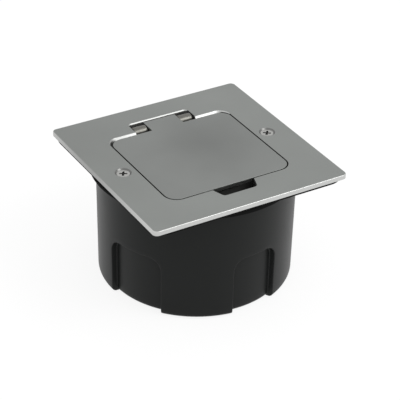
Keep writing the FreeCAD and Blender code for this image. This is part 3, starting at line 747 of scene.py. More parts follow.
class Piece:
    """Sub-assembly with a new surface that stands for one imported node."""

    node: ClassVar[str]
    slot: ClassVar[str]
    finishes: ClassVar[tuple[Finish, ...]]
    body: ClassVar[Body] = Body.HOUSING

    def box(self) -> tuple[Array, Array]:
        """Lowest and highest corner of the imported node, in millimetres."""
        low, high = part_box(self.node)
        return np.array(low) / MM, np.array(high) / MM

    def build(self, surface: Surface) -> None:
        """Add the faces of the piece to a surface."""
        raise NotImplementedError

    def dress(self) -> bpy.types.Object:
        """Put the new piece into the scene with its finishes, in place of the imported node.

        Returns:
            The new object.
        """
        name = f"{self.node}_looks"
        surface = Surface()
        self.build(surface)
        mesh = surface.mesh(name)
        piece = put(name, mesh)
        for finish in self.finishes:
            mesh.materials.append(finish.material())
        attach(piece, self.body.value)
        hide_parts(self.node)
        LOG.info("%s: %d faces, moves with the %s", name, len(mesh.polygons), self.body.value)
        return piece


class PlateFace(IntEnum):
    """Kinds of face on the cover plate, in the order of its finishes."""

    TOP = 0
    EDGE = 1
    SLOPE = 2
    BAY = 3
    INNER = 4
    SINK = 5


@dataclass
class CoverPlate(Piece):
    """Square plate with the lid opening, hinge bay, finger notch and two countersinks."""

    node = "cover_plate"
    slot = "plate_metal"
    finishes = (SATIN_PLATE, MACHINED_EDGE_AND_HIGHLIGHT, MACHINED_SLOPE_PAINTED_LIGHT, MACHINED_BAY_PAINTED_LIGHT, OPENING_WALL_PAINTED_SHADE, SINK_PAINTED_SHADE)
    corner_radius: float = 3.0
    edge_bevel: float = 0.35
    bottom_bevel: float = 0.15
    opening_half: float = 42.0
    opening_front: float = -42.1
    opening_rear: float = 37.9
    opening_corner: float = 8.5
    bay_half: float = 21.0
    bay_rear: float = 48.2
    pocket_corner: float = 2.5
    notch_half_rear: float = 14.0
    notch_half_front: float = 11.2
    notch_front: float = -50.4
    inner_corner: float = 0.5
    inner_bevel: float = 0.12
    bay_bevel: float = 0.6
    slope_length: float = 1.9
    slope_toe: float = 0.4
    screw_x: float = PLATE_SCREW_X
    countersink_radius: float = 4.9
    hole_radius: float = 2.75
    flat_border: float = 0.3

    def opening(self) -> Outline:
        """Outline of the lid opening with the hinge bay and the finger notch.

        Returns:
            The outline, which starts at the front right corner.
        """
        half, front, rear = self.opening_half, self.opening_front, self.opening_rear
        corners = (
            (half, front), (half, rear), (self.bay_half, rear), (self.bay_half, self.bay_rear),
            (-self.bay_half, self.bay_rear), (-self.bay_half, rear), (-half, rear), (-half, front),
            (-self.notch_half_rear, front), (-self.notch_half_front, self.notch_front),
            (self.notch_half_front, self.notch_front), (self.notch_half_rear, front),
        )
        big, small, tight = self.opening_corner, self.pocket_corner, self.inner_corner
        radii = (big, big, tight, small, small, tight, big, big, tight, small, small, tight)
        return Outline(corners, radii)

    def inner_wall(self, bottom: float, top: float) -> tuple[Array, Array]:
        """Opening wall and the narrow level border round it.

        The outline p and its outward spread s give the wall's upper edge p + b s. The bevel b rises from the
        small break to the bay's bevel over the rear corners of the hinge bay. Round the opening's rear
        corners it swells by sin 2a, where a is the angle along the corner's arc.

        Args:
            bottom: Height of the plate's underside.
            top: Height of the plate's upper face.

        Returns:
            The wall's grid and the border's grid.
        """
        outline = self.opening()
        base = outline.loop()
        spread = outline.loop(1.0) - base
        x, y = base.T
        bay_share = np.clip((y - self.bay_rear) / self.pocket_corner + 1, 0, 1)
        cosine = np.clip((np.abs(x) - self.opening_half) / self.opening_corner + 1, 0, 1)
        sine = np.clip((y - self.opening_rear) / self.opening_corner + 1, 0, 1)
        share = np.maximum(bay_share, 2 * cosine * sine)
        bevel = (self.inner_bevel + (self.bay_bevel - self.inner_bevel) * share)[:, None]
        edge = raised(base + bevel * spread, top)
        border = np.stack([edge, raised(base + (bevel + self.flat_border) * spread, top)])
        foot = [raised(base, height) for height in (bottom, bottom + self.slope_toe)]
        inner = np.stack([*foot, np.hstack([base, top - bevel]), edge])
        return self.sloped(inner, bottom, top), border

    def inner_faces(self) -> Array:
        """Kind of face along the opening wall: slopes beside the hinge bay, the bay's rear, and the rest.

        Returns:
            One kind for each column of the wall.
        """
        x, y = self.opening().loop().T
        bay = y > self.bay_rear - self.pocket_corner / 2
        slope = (np.abs(x) > self.bay_half + TINY) & (y > self.opening_rear - self.opening_corner)
        # The slopes and the bay's rear take lighter finishes as painted light, and the rest takes a darker
        # one as painted shade
        return np.select([bay, slope], [PlateFace.BAY, PlateFace.SLOPE], PlateFace.INNER)

    def sloped(self, inner: Array, bottom: float, top: float) -> Array:
        """Opening wall with the slopes along its rear edge.

        Beside the hinge bay, y is held to the slope: y <= rear - length * (top - z) / (top - bottom - toe).

        Args:
            inner: Grid of the upright wall.
            bottom: Height of the plate's underside.
            top: Height of the plate's upper face.

        Returns:
            The grid with its rear points moved to the slope.
        """
        x, y, z = np.moveaxis(inner, -1, 0)
        drop = np.clip((top - z) / (top - bottom - self.slope_toe), 0, 1)
        limit = self.opening_rear - self.slope_length * drop
        beside = np.abs(x) > self.bay_half + TINY
        return points_at(x, np.where(beside & (drop > 0), np.minimum(y, limit), y), z)

    def build(self, surface: Surface) -> None:
        """Add two level faces, joined by a bevelled outer edge, the opening's wall and two conical holes.

        Args:
            surface: Surface to add to.
        """
        low, high = self.box()
        bottom, top = low[2], high[2]
        outer = rectangle(low[0], high[0], low[1], high[1], self.corner_radius)
        bevel = self.edge_bevel
        rim = wall(outer, [(-self.bottom_bevel, bottom), (0, bottom + self.bottom_bevel), (0, top - bevel)])
        rim_border = wall(outer, [(-bevel, top), (-bevel - self.flat_border, top)])
        inner, inner_border = self.inner_wall(bottom, top)
        surface.grid(rim, finish=PlateFace.EDGE)
        # The round-over takes the lighter edge finish as a painted highlight along the top of the edge
        surface.grid(wall(outer, round_over(bevel, top)), finish=PlateFace.EDGE)
        surface.grid(rim_border)
        surface.grid(inner, flip=True, finish=np.tile(self.inner_faces(), len(inner) - 1))
        surface.grid(inner_border, flip=True)
        tops = [rim_border[-1], inner_border[-1]]
        bottoms = [rim[0], inner[0]]
        depth = self.countersink_radius - self.hole_radius
        cone = [(0, bottom), (0, top - depth), (depth, top), (depth + self.inner_bevel, top)]
        for x in (-self.screw_x, self.screw_x):
            sink = wall(Circle(x, 0.0, self.hole_radius), cone)
            surface.grid(sink, flip=True, finish=PlateFace.SINK)
            tops.append(sink[-1])
            bottoms.append(sink[0])
        surface.fill(tops, top)
        surface.fill(bottoms, bottom, up=False)


@dataclass
class PlateGasket(Piece):
    """Thin seal between the plate and the box's flange, set back from the plate's edge."""

    node = "plate_gasket"
    slot = "rubber"
    finishes = (SEAL_RUBBER,)
    half_side: float = 64.5
    corner_radius: float = 10.0
    bore_radius: float = 58.5
    edge_round: float = 0.3

    def build(self, surface: Surface) -> None:
        """Add a level ring, square outside with rounded edges and round inside.

        Args:
            surface: Surface to add to.
        """
        low, high = self.box()
        bottom, top = low[2], high[2]
        half = self.half_side
        upper = round_over(self.edge_round, top)
        lower = [(grow, bottom + top - height) for grow, height in reversed(upper)]
        side = wall(rectangle(-half, half, -half, half, self.corner_radius), lower + upper)
        bore = wall(Circle(0.0, 0.0, self.bore_radius), [(0, bottom), (0, top)])
        surface.grid(side)
        surface.grid(bore, flip=True)
        surface.fill([side[-1], bore[-1]], top)
        surface.fill([side[0], bore[0]], bottom, up=False)


class LidFace(IntEnum):
    """Kinds of face on the lid, in the order of its finishes."""

    SATIN = 0
    BORE = 1


@dataclass
class Lid(Piece):
    """Flush lid with a hinge tongue and knuckle, and a stiffening rim and ribs underneath."""

    node = "lid"
    slot = "lid_metal"
    finishes = (SATIN_LID, MACHINED_EDGE_AND_HIGHLIGHT)
    body = Body.LID
    front: float = -41.3
    rear: float = 35.2
    corner_radius: float = 7.7
    bottom: float = 77.4
    tongue_half: float = 11.0
    tongue_corner: float = 0.6
    knuckle_radius: float = 3.56
    bore_radius: float = 2.56
    edge_round: float = 0.16
    flat_border: float = 0.3
    rim_half: float = 36.6
    rim_front: float = -34.6
    rim_rear: float = 29.4
    rim_corner: float = 5.1
    rim_bottom: float = 75.4
    rim_wall: float = 1.6
    rib_count: int = 3
    rib_wall: float = 1.4
    cell_corner: float = 0.8
    low_bevel: float = 0.2
    knuckle_steps: int = 40

    def hinge(self) -> tuple[float, float]:
        """Place of the hinge axis as (y, z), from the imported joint."""
        place = joint_of(Body.LID)["pos_m"]
        return place[1] / MM, place[2] / MM

    def outline(self) -> Outline:
        """Outline of the lid with its tongue, with a point on each side where the knuckle begins.

        Returns:
            The outline, which starts at the front right corner.
        """
        half = self.box()[1][0]
        hinge_y, _ = self.hinge()
        knuckle_front = hinge_y - self.knuckle_radius
        tongue_rear = hinge_y + self.knuckle_radius
        tongue = self.tongue_half
        corners = (
            (half, self.front), (half, self.rear), (tongue, self.rear), (tongue, knuckle_front),
            (tongue, tongue_rear), (-tongue, tongue_rear), (-tongue, knuckle_front), (-tongue, self.rear),
            (-half, self.rear), (-half, self.front),
        )
        big = self.corner_radius
        small = self.tongue_corner
        return Outline(corners, (big, big, small, 0.0, 0.0, 0.0, 0.0, small, big, big))

    def cells(self) -> list[Outline]:
        """Hollows between the rim and the ribs.

        Returns:
            Their outlines, from the front to the rear.
        """
        half = self.rim_half - self.rim_wall
        pitch = (self.rim_rear - self.rim_front) / (self.rib_count + 1)
        ribs = self.rim_front + pitch * np.arange(1, self.rib_count + 1)
        fronts = np.append(self.rim_front + self.rim_wall, ribs + self.rib_wall / 2)
        rears = np.append(ribs - self.rib_wall / 2, self.rim_rear - self.rim_wall)
        return [rectangle(-half, half, front, rear, self.cell_corner) for front, rear in zip(fronts, rears)]

    def low_profile(self, side: int) -> Pairs:
        """Wall from the rim's lower face up to the lid, bevelled outward (1) or inward (-1) at its foot."""
        foot = self.rim_bottom
        return [(side * self.low_bevel, foot), (0, foot + self.low_bevel), (0, self.bottom)]

    def add_knuckle(self, surface: Surface, shoulder: float) -> None:
        """Add the barrel under the end of the tongue, with its bore.

        The barrel is a half circle in (y, z) with two short upright sides, carried along X. Its ends reach
        up to the rounded edge of the tongue, because the bore cuts into the tongue.

        Args:
            surface: Surface to add to.
            shoulder: Height at which the tongue's rounded edge begins.
        """
        hinge_y, hinge_z = self.hinge()
        front, rear = hinge_y - self.knuckle_radius, hinge_y + self.knuckle_radius
        angle = np.linspace(math.pi, 2 * math.pi, self.knuckle_steps)
        barrel = (hinge_y, hinge_z) + self.knuckle_radius * directions(angle)
        profile = np.concatenate([[(front, self.bottom)], barrel, [(rear, self.bottom)]])
        end = np.concatenate([[(front, shoulder)], profile, [(rear, shoulder)]])
        bore = Circle(hinge_y, hinge_z, self.bore_radius).loop()
        ends = (-self.tongue_half, self.tongue_half)
        surface.grid(np.stack([upright(profile, x) for x in ends]), closed=False)
        surface.grid(np.stack([upright(bore, x) for x in ends]), flip=True, finish=LidFace.BORE)
        for x in ends:
            surface.end_face([end, bore], x)

    def build(self, surface: Surface) -> None:
        """Add a level top with a rounded edge, a ribbed underside and the hinge knuckle.

        Args:
            surface: Surface to add to.
        """
        _, high = self.box()
        top = high[2]
        outline = self.outline()
        edge = wall(outline, [(0, self.bottom)] + round_over(self.edge_round, top))
        border = wall(outline, [(-self.edge_round, top), (-self.edge_round - self.flat_border, top)])
        rim = rectangle(-self.rim_half, self.rim_half, self.rim_front, self.rim_rear, self.rim_corner)
        rim_wall = wall(rim, self.low_profile(-1))
        knuckle_front = self.hinge()[0] - self.knuckle_radius
        behind = np.flatnonzero(edge[0, :, 1] > knuckle_front + WELD)
        side_wall = np.roll(edge[:2], -behind[-1] - 1, axis=1)[:, :-len(behind)]
        surface.grid(side_wall, closed=False)
        surface.grid(edge[:2, behind], closed=False)
        surface.grid(edge[1:])
        surface.grid(border)
        surface.fill([border[-1]], top)
        surface.fill([side_wall[0], rim_wall[-1]], self.bottom, up=False)
        surface.grid(rim_wall)
        low_loops = [rim_wall[0]]
        for cell in self.cells():
            cell_wall = wall(cell, self.low_profile(1))
            surface.grid(cell_wall, flip=True)
            surface.fill([cell_wall[-1]], self.bottom, up=False)
            low_loops.append(cell_wall[0])
        surface.fill(low_loops, self.rim_bottom, up=False)
        self.add_knuckle(surface, edge[1, 0, 2])


@dataclass
class CrossScrew(Piece):
    """Countersunk screws of one node, each with a cross recess and a rolled thread.

    The recess is sized in shares of the head's radius, and the thread in shares of the shank's radius. The
    first finish is the screw's own, and the second is painted shade for the depth of the recess.
    """

    node: str
    slot: str
    finishes: tuple[PlatedFinish, PlatedFinish]
    shank_radius: float
    places: tuple[tuple[float, float], ...]
    turns: tuple[float, ...]
    rim_round: float = 0.12
    recess_reach: float = 0.585
    recess_half: float = 0.134
    recess_depth: float = 0.463
    recess_edge: float = 0.039
    recess_rise: float = 0.55
    recess_shade_depth: float = 0.2
    thread_depth: float = 0.133
    thread_pitch: float = 0.333
    tip_turns: float = 2.0
    tip_narrowing: float = 0.25
    columns: int = 72
    face_rows: int = 30
    rows_a_turn: int = 6

    def recess(self, x: Array, y: Array) -> Array:
        """Depth of the cross recess.

        Two bars cross at right angles. Each is full depth along its middle and rises to the face over a
        narrow edge by the smooth step s * s * (3 - 2 s). The floor rises from the centre to the bars' ends.

        Args:
            x: Share of the head's radius along one bar.
            y: Share of the head's radius along the other bar.

        Returns:
            Depth below the face as a share of the head's radius.
        """
        near = np.minimum(np.abs(x), np.abs(y))
        far = np.maximum(np.abs(x), np.abs(y))
        across = np.clip((self.recess_half - near) / self.recess_edge + 0.5, 0, 1)
        along = np.clip((self.recess_reach - far) / self.recess_edge + 0.5, 0, 1)
        step = across * along
        floor = 1 - self.recess_rise * np.clip(far / self.recess_reach, 0, 1)
        return self.recess_depth * floor * step ** 2 * (3 - 2 * step)

    def crown(self, share: Array) -> Array:
        """Drop of the face below its middle, by share of the head's radius: none on a flat head."""
        return np.zeros_like(share)

    def head(self, radius: float, top: float) -> tuple[list[float], list[float]]:
        """Radii and heights from the head's rim down to the start of the shank."""
        return [radius, self.shank_radius], [top - self.rim_round, top - (radius - self.shank_radius)]

    def build(self, surface: Surface) -> None:
        """Add all the node's screws.

        A profile from the middle of the face over the rim, down the head and along the shank to the tip is
        turned round each screw's axis. The face drops by the recess, and the shank follows a helical ridge.

        Args:
            surface: Surface to add to.
        """
        low, high = self.box()
        top, tip = high[2], low[2]
        radius = high[0] - max(x for x, _ in self.places)
        pitch, depth = self.thread_pitch * self.shank_radius, self.thread_depth * self.shank_radius
        face = np.linspace(0, radius - self.rim_round, self.face_rows)
        head_radii, head_heights = self.head(radius, top)
        rows = math.ceil((head_heights[-1] - tip) / pitch * self.rows_a_turn)
        shank = np.linspace(head_heights[-1], tip + depth, rows)
        above_tip = np.clip((shank - tip) / (self.tip_turns * pitch), 0, 1)
        taper = 1 - self.tip_narrowing * (1 - np.sqrt(above_tip))
        angle = full_turn(self.columns)
        phase = (shank[:, None] / pitch + angle / (2 * math.pi)) % 1.0
        thread = (self.shank_radius - depth * np.abs(2 * phase - 1)) * taper[:, None]
        plain = np.concatenate([face, head_radii])[:, None] * np.ones(self.columns)
        ring = np.concatenate([plain, thread, np.zeros((1, self.columns))])
        height = np.concatenate([top - self.crown(face / radius), head_heights, shank, [tip]])[:, None]
        on_face = (np.arange(len(ring)) < len(face))[:, None]
        for (x, y), turn in zip(self.places, self.turns):
            swing = angle + math.radians(turn)
            dip = self.recess(ring / radius * np.cos(swing), ring / radius * np.sin(swing)) * on_face
            points = points_at(x + ring * np.cos(angle), y + ring * np.sin(angle), height - radius * dip)
            # Faces deeper than this depth take the painted shade finish
            recess_shade = dip[:-1] > self.recess_shade_depth
            surface.grid(points, flip=True, finish=recess_shade.reshape(-1).astype(int))


@dataclass
class PanScrew(CrossScrew):
    """Screws whose domed head stands on its seat."""

    head_height: float = 1.9
    dome: float = 0.6

    def crown(self, share: Array) -> Array:
        """Drop of the domed face, by share of the head's radius: a parabola."""
        return self.dome * share ** 2

    def head(self, radius: float, top: float) -> tuple[list[float], list[float]]:
        """Radii and heights from the rim down to the seat and in to the shank."""
        seat = top - self.head_height
        return [radius, radius, self.shank_radius], [top - self.dome - self.rim_round, seat, seat]


@dataclass
class HingePin(Piece):
    """Plain steel pin with rounded ends and a collar on each side of the lid's tongue."""

    node = "hinge_pin"
    slot = "bright_steel"
    finishes = (PIN_STEEL,)
    end_round: float = 0.5
    collar_radius: float = 3.65
    collar_near: float = 11.4
    collar_far: float = 20.4
    columns: int = 48
    end_steps: int = 5

    def build(self, surface: Surface) -> None:
        """Add the pin: a profile of radius along X, turned round the hinge axis.

        Half the profile goes from the middle over the collar to the end, and the other half mirrors it.

        Args:
            surface: Surface to add to.
        """
        low, high = self.box()
        radius, half = (high[2] - low[2]) / 2, high[0]
        centre = (low + high) / 2
        collar, near, far, rounding = self.collar_radius, self.collar_near, self.collar_far, self.end_round
        angle = quarter_turn(self.end_steps)
        swell, drop = rounding * np.sin(angle), rounding * (1 - np.cos(angle))
        half_x = np.concatenate([[near], near + rounding - swell[::-1], far - rounding + swell, [far],
                                 half - rounding + swell])
        half_radius = np.concatenate([[radius], collar - drop[::-1], collar - drop, [radius], radius - drop])
        along = np.concatenate([[-half], -half_x[::-1], half_x, [half]])
        around = np.concatenate([[0.0], half_radius[::-1], half_radius, [0.0]])[:, None]
        turn = full_turn(self.columns)
        y = centre[1] + around * np.cos(turn)
        z = centre[2] + around * np.sin(turn)
        surface.grid(points_at(along[:, None], y, z))


@dataclass
class ShutterSpring(Piece):
    """Coil spring behind the shutter, which shortens as the shutter slides."""

    node = "shutter_spring"
    slot = "bright_steel"
    finishes = (BRIGHT_STEEL,)
    wire_radius: float = 0.22
    open_turns: float = 5.0
    end_turns: float = 1.0
    steps: int = 420
    columns: int = 12

    def helix(self, coil: float, length: float) -> Array:
        """Middle line of the wire.

        The line is (r cos t, y, r sin t). Along y it climbs by one wire a turn in the closed ends, and evenly
        over the rest of the length in the open turns between them.

        Args:
            coil: Radius of the coil, to the middle of the wire.
            length: Distance along y between the two ends of the line.

        Returns:
            Points as an array of (x, y, z) from the front end.
        """
        closed = 2 * self.wire_radius * self.end_turns
        turn = np.linspace(0, self.open_turns + 2 * self.end_turns, self.steps)
        knots = np.cumsum([0.0, self.end_turns, self.open_turns, self.end_turns])
        climb = np.interp(turn, knots, [0.0, closed, length - closed, length])
        return points_at(coil * np.cos(2 * math.pi * turn), climb, coil * np.sin(2 * math.pi * turn))

    def build(self, surface: Surface) -> None:
        """Add the spring: a circle carried along the helix, closed by a point at each end.

        Args:
            surface: Surface to add to.
        """
        low, high = self.box()
        start = np.array([0.0, low[1] + self.wire_radius, (low[2] + high[2]) / 2])
        coil = (high[0] - low[0]) / 2 - self.wire_radius
        line = self.helix(coil, high[1] - low[1] - 2 * self.wire_radius)
        outward = line * (1, 0, 1) / coil
        along = np.gradient(line, axis=0)
        along /= np.linalg.norm(along, axis=1, keepdims=True)
        across = np.cross(along, outward)
        across /= np.linalg.norm(across, axis=1, keepdims=True)
        angle = full_turn(self.columns)[None, :, None]
        circle = np.cos(angle) * outward[:, None] + np.sin(angle) * across[:, None]
        middle = np.pad(line, ((1, 1), (0, 0)), "edge")[:, None]
        wire = self.wire_radius * np.pad(circle, ((1, 1), (0, 0), (0, 0)))
        surface.grid(start + middle + wire)

    def dress(self) -> bpy.types.Object:
        """Put the spring into the scene and give it its own copy of its mesh.

        Returns:
            The new object.
        """
        piece = super().dress()
        joint = joint_of(Body.SHUTTER)
        low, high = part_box("shutter_spring")
        1 - joint["range_m"][1] / (high[1] - low[1])
        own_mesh(piece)
        return piece


@dataclass
class DrumWall:
    """One skin of the back box: a tapered drum with arched panels set into it.

    A skin is split into one cell for each panel. In a cell, the panel's edge is a path in arc length and
    height: up one side, round the arch and down the other. Rows between that path and the cell's frame make
    the drum, a profile carried along the path makes the panel's wall, and rows between its two sides make
    its floor.
    """

    bottom: float
    top: float
    bottom_radius: float
    top_radius: float
    bottom_round: float
    panel_radius: float
    panel_grow: float
    edge_round: float
    foot_round: float
    panel_top: float = 39.5
    panel_corner: float = 8.5
    panel_angles: tuple[float, ...] = (-158.2, -83.4, 21.8, 96.6)
    panel_sweeps: tuple[float, ...] = (36.4, 29.3, 36.4, 29.3)
    unroll_radius: float = 60.0
    draft: float = 0.2
    round_steps: int = 7
    side_rows: int = 8
    arch_rows: int = 12
    top_columns: int = 26
    drum_rows: int = 14

    def foot_inset(self, height: Array) -> Array:
        """Distance by which the quarter circle at the foot stands back at a height."""
        dip = np.clip(self.bottom_round - (height - self.bottom), 0, None)
        return self.bottom_round - np.sqrt(self.bottom_round ** 2 - dip ** 2)

    def radius_at(self, height: Array) -> Array:
        """Radius of the drum at a height: a straight taper with a quarter circle at the foot."""
        taper = self.bottom_radius + (self.top_radius - self.bottom_radius) * height / self.top
        return taper - self.foot_inset(height)

    def side_heights(self) -> Array:
        """Heights along a panel's straight side, close together round the foot.

        Returns:
            The heights, rising.
        """
        foot = self.bottom + self.bottom_round * (1 - np.cos(quarter_turn(self.round_steps)))
        rest = np.linspace(foot[-1], self.panel_top - self.panel_corner, self.side_rows + 1)[1:]
        return np.unique(np.concatenate([foot, rest]))

    def path(self, half: float, grow: float) -> Array:
        """Path along a panel's edge: up the left side, round the arch and down the right side.

        Args:
            half: Half the panel's width.
            grow: Distance by which the path lies outside the panel.

        Returns:
            Points as arc length and height.
        """
        heights = self.side_heights()
        corner = self.panel_corner + grow
        angle = quarter_turn(self.arch_rows + 1)[1:]
        arch_length = self.panel_corner - half - corner * np.cos(angle)
        arch_height = self.panel_top - self.panel_corner + corner * np.sin(angle)
        left = np.concatenate([points_at(-half - grow, heights), points_at(arch_length, arch_height)])
        end, crown = left[-1]
        across = np.linspace(end, -end, self.top_columns + 1)[1:-1]
        return np.concatenate([left, points_at(across, crown), left[::-1] * (-1, 1)])

    def frame_path(self, left: float, right: float) -> Array:
        """Frame of a cell, with as many points as the panel's path.

        Args:
            left: Lower limit of arc length.
            right: Upper limit of arc length.

        Returns:
            Points as arc length and height.
        """
        heights = self.side_heights()
        rise = np.linspace(heights[-1], self.top, self.arch_rows + 1)[1:]
        levels = np.concatenate([heights, rise])
        across = np.linspace(left, right, self.top_columns + 1)[1:-1]
        sides = points_at(left, levels), points_at(right, levels[::-1])
        return np.concatenate([sides[0], points_at(across, self.top), sides[1]])

    def wrapped(self, flat: Array, centre: float, depth: Array | float) -> Array:
        """Points of arc length and height wrapped round the drum.

        Args:
            flat: Array that ends in arc length and height.
            centre: Angle of the panel's middle.
            depth: Share of the way from the drum in to the panel's floor.

        Returns:
            Array that ends in (x, y, z).
        """
        length, height = np.moveaxis(flat, -1, 0)
        angle = centre + length / self.unroll_radius
        drum = self.radius_at(height)
        panel = self.panel_radius - self.foot_inset(height)
        radius = drum + (panel - drum) * depth
        return points_at(radius * np.cos(angle), radius * np.sin(angle), height)

    def profile(self) -> tuple[Array, Array]:
        """Section across a panel's wall: a rounded brim, a drafted wall and a filleted foot.

        Returns:
            Growth and depth share along the section.
        """
        depth = self.bottom_radius - self.panel_radius
        sine, cosine = np.sin(quarter_turn(self.round_steps)), np.cos(quarter_turn(self.round_steps))
        brim_grow = self.edge_round * (1 - sine)
        brim_depth = self.edge_round * (1 - cosine)
        foot_grow = -self.draft - self.foot_round * (1 - cosine)
        foot_depth = depth - self.foot_round + self.foot_round * sine
        return np.concatenate([brim_grow, foot_grow]), np.concatenate([brim_depth, foot_depth]) / depth

    def add(self, surface: Surface, flip: bool) -> tuple[Array, Array]:
        """Add the skin to a surface.

        Args:
            surface: Surface to add to.
            flip: Whether the skin faces inward.

        Returns:
            The loop of (x, y) along its lower edge, and the angles of the columns along its upper edge.
        """
        centres = np.radians(self.panel_angles)
        halves = np.radians(self.panel_sweeps) / 2
        gaps = np.append(centres[1:], centres[0] + 2 * math.pi) - centres
        limits = centres + (halves + gaps - np.roll(halves, -1)) / 2
        lefts = np.append(limits[-1] - 2 * math.pi, limits[:-1])
        grows, depths = self.profile()
        share = np.linspace(0, 1, self.drum_rows + 1)[:, None, None]
        sweep = np.linspace(0, 1, self.top_columns + 1)[None, :, None]
        rows = len(self.side_heights()) + self.arch_rows
        lower = []
        upper = []
        for centre, half, left, right in zip(centres, halves, lefts, limits):
            width = half * self.unroll_radius + self.panel_grow
            paths = np.stack([self.path(width, grow) for grow in grows])
            around = self.frame_path(*((np.array([left, right]) - centre) * self.unroll_radius))
            inner, mirrored = paths[-1, :rows, None], paths[-1, ::-1][:rows, None]
            drum = self.wrapped(around + (paths[0] - around) * share, centre, 0.0)
            side = self.wrapped(paths, centre, depths[:, None])
            floor = self.wrapped(inner + (mirrored - inner) * sweep, centre, 1.0)
            surface.grid(drum, closed=False, flip=not flip)
            surface.grid(side, closed=False, flip=not flip)
            surface.grid(floor, closed=False, flip=flip)
            lower += [drum[:, 0], side[1:, 0], floor[0, 1:], side[::-1, -1][1:], drum[::-1, -1][1:-1]]
            upper.append(np.linspace(left, right, self.top_columns + 1)[:-1])
        return np.concatenate(lower)[:, :2], np.concatenate(upper)


class BoxFace(IntEnum):
    """Kinds of face on the back box, in the order of its finishes."""

    DRUM = 0
    FLANGE = 1


@dataclass
class BackBox(Piece):
    """Round moulded box with a flange, arched conduit panels, screw bosses and fixing holes."""

    node = "back_box"
    slot = "box_plastic"
    finishes = (BOX_PLASTIC, FLANGE_PAINTED_SHADE)
    thickness: float = 2.5
    bottom_radius: float = 60.0
    top_radius: float = 60.7
    bottom_round: float = 3.0
    flange_bottom: float = 73.5
    flange_round: float = 0.4
    panel_depth: float = 3.3
    panel_brim: float = 0.45
    panel_foot: float = 0.7
    inner_round: float = 0.3
    hole_y: float = 30.0
    hole_radius: float = 3.2
    pad_radius: float = 6.5
    pad_height: float = 1.0
    boss_x: float = PLATE_SCREW_X
    boss_radius: float = 5.0
    boss_web: float = 5.0
    boss_bottom: float = 46.5
    boss_top: float = 74.5
    boss_bore: float = 3.2
    edge_break: float = 0.25

    def build(self, surface: Surface) -> None:
        """Add an outer and an inner skin, the flange, the floor with its fixing holes, and the bosses.

        Args:
            surface: Surface to add to.
        """
        low, high = self.box()
        bottom, top, rim = low[2], high[2], high[0]
        shell = self.thickness
        floor = bottom + shell
        panel_radius = self.bottom_radius - self.panel_depth
        outer = DrumWall(bottom, self.flange_bottom, self.bottom_radius, self.top_radius, self.bottom_round,
                         panel_radius, 0.0, self.panel_brim, self.panel_foot)
        inner = DrumWall(floor, top, self.bottom_radius - shell, self.top_radius - shell, 0.0,
                         panel_radius - shell, shell, self.inner_round, self.inner_round)
        outer_foot, columns = outer.add(surface, flip=False)
        inner_foot, _ = inner.add(surface, flip=True)
        lower_round = [(rim + grow, self.flange_bottom - height)
                       for grow, height in reversed(round_over(self.flange_round, 0.0))]
        flange = [
            (outer.radius_at(np.array(self.flange_bottom)), self.flange_bottom),
            *lower_round,
            (rim, top - self.edge_break),
            (rim - self.edge_break, top),
            (inner.radius_at(np.array(top)), top),
        ]
        # The flange takes the darker finish as painted shade under the plate
        surface.grid(turned(flange, columns), finish=BoxFace.FLANGE)
        bottoms = [outer_foot]
        floors = [inner_foot]
        pad_top = floor + self.pad_height
        hole = [(self.edge_break, bottom), (0, bottom + self.edge_break), (0, pad_top)]
        for y in (-self.hole_y, self.hole_y):
            bore = wall(Circle(0.0, y, self.hole_radius), hole)
            pad = wall(Circle(0.0, y, self.pad_radius), [(0, floor), (0, pad_top)])
            surface.grid(bore, flip=True)
            surface.grid(pad)
            surface.fill([pad[-1], bore[-1]], pad_top)
            bottoms.append(bore[0])
            floors.append(pad[0])
        surface.fill(bottoms, bottom, up=False)
        surface.fill(floors, floor)
        for side in (-1, 1):
            self.add_boss(surface, side)

    def boss_outline(self, side: int) -> Array:
        """Outline of a screw boss.

        An arc round the screw is closed by a narrow web that reaches into the wall. Half a turn about the
        middle of the box gives the other boss.

        Args:
            side: Sign of the boss's x.

        Returns:
            Points as an array of (x, y), anticlockwise.
        """
        half = self.boss_web / 2
        start = math.asin(half / self.boss_radius)
        angle = np.linspace(start, 2 * math.pi - start, CIRCLE_STEPS)
        arc = (self.boss_x, 0.0) + self.boss_radius * directions(angle)
        far = self.bottom_radius - self.thickness / 2
        return side * np.concatenate([arc, [(far, -half), (far, half)]])

    def add_boss(self, surface: Surface, side: int) -> None:
        """Add one screw boss with a blind bore.

        Args:
            surface: Surface to add to.
            side: Sign of the boss's x.
        """
        outline = self.boss_outline(side)
        bore_bottom = self.boss_bottom + self.thickness
        sides = np.stack([raised(outline, height) for height in (self.boss_bottom, self.boss_top)])
        bore = wall(Circle(side * self.boss_x, 0.0, self.boss_bore), [(0, bore_bottom), (0, self.boss_top)])
        surface.grid(sides)
        surface.grid(bore, flip=True)
        surface.fill([sides[0]], self.boss_bottom, up=False)
        surface.fill([bore[0]], bore_bottom)
        surface.fill([sides[-1], bore[-1]], self.boss_top)


@dataclass
class PackedNodes:
    """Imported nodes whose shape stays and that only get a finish."""

    nodes: dict[Finish, tuple[str, ...]] = field(default_factory=lambda: {
        BRASS: ("screw_inserts", "line_contact", "neutral_contact", "earth_bracket"),
        ZINC_STEEL: ("frame_screws", "support_yoke", "yoke_rivets", "terminal_clamps", "terminal_screws"),
        FRAME_PLASTIC: ("well_frame",),
        SOCKET_PLASTIC: ("socket_face",),
        BASE_PLASTIC: ("mechanism_base",),
        SHUTTER_PLASTIC: ("shutter",),
        SEAL_RUBBER: ("lid_gasket",),
    })

    def dress(self) -> None:
        """Put the finishes on the nodes."""
        for finish, names in self.nodes.items():
            for name in names:
                mesh = frame["nodes"][name].data
                mesh.materials.clear()
                mesh.materials.append(finish.material())
                LOG.info("%s: packed node with finish %s", name, finish.name)


# Studio


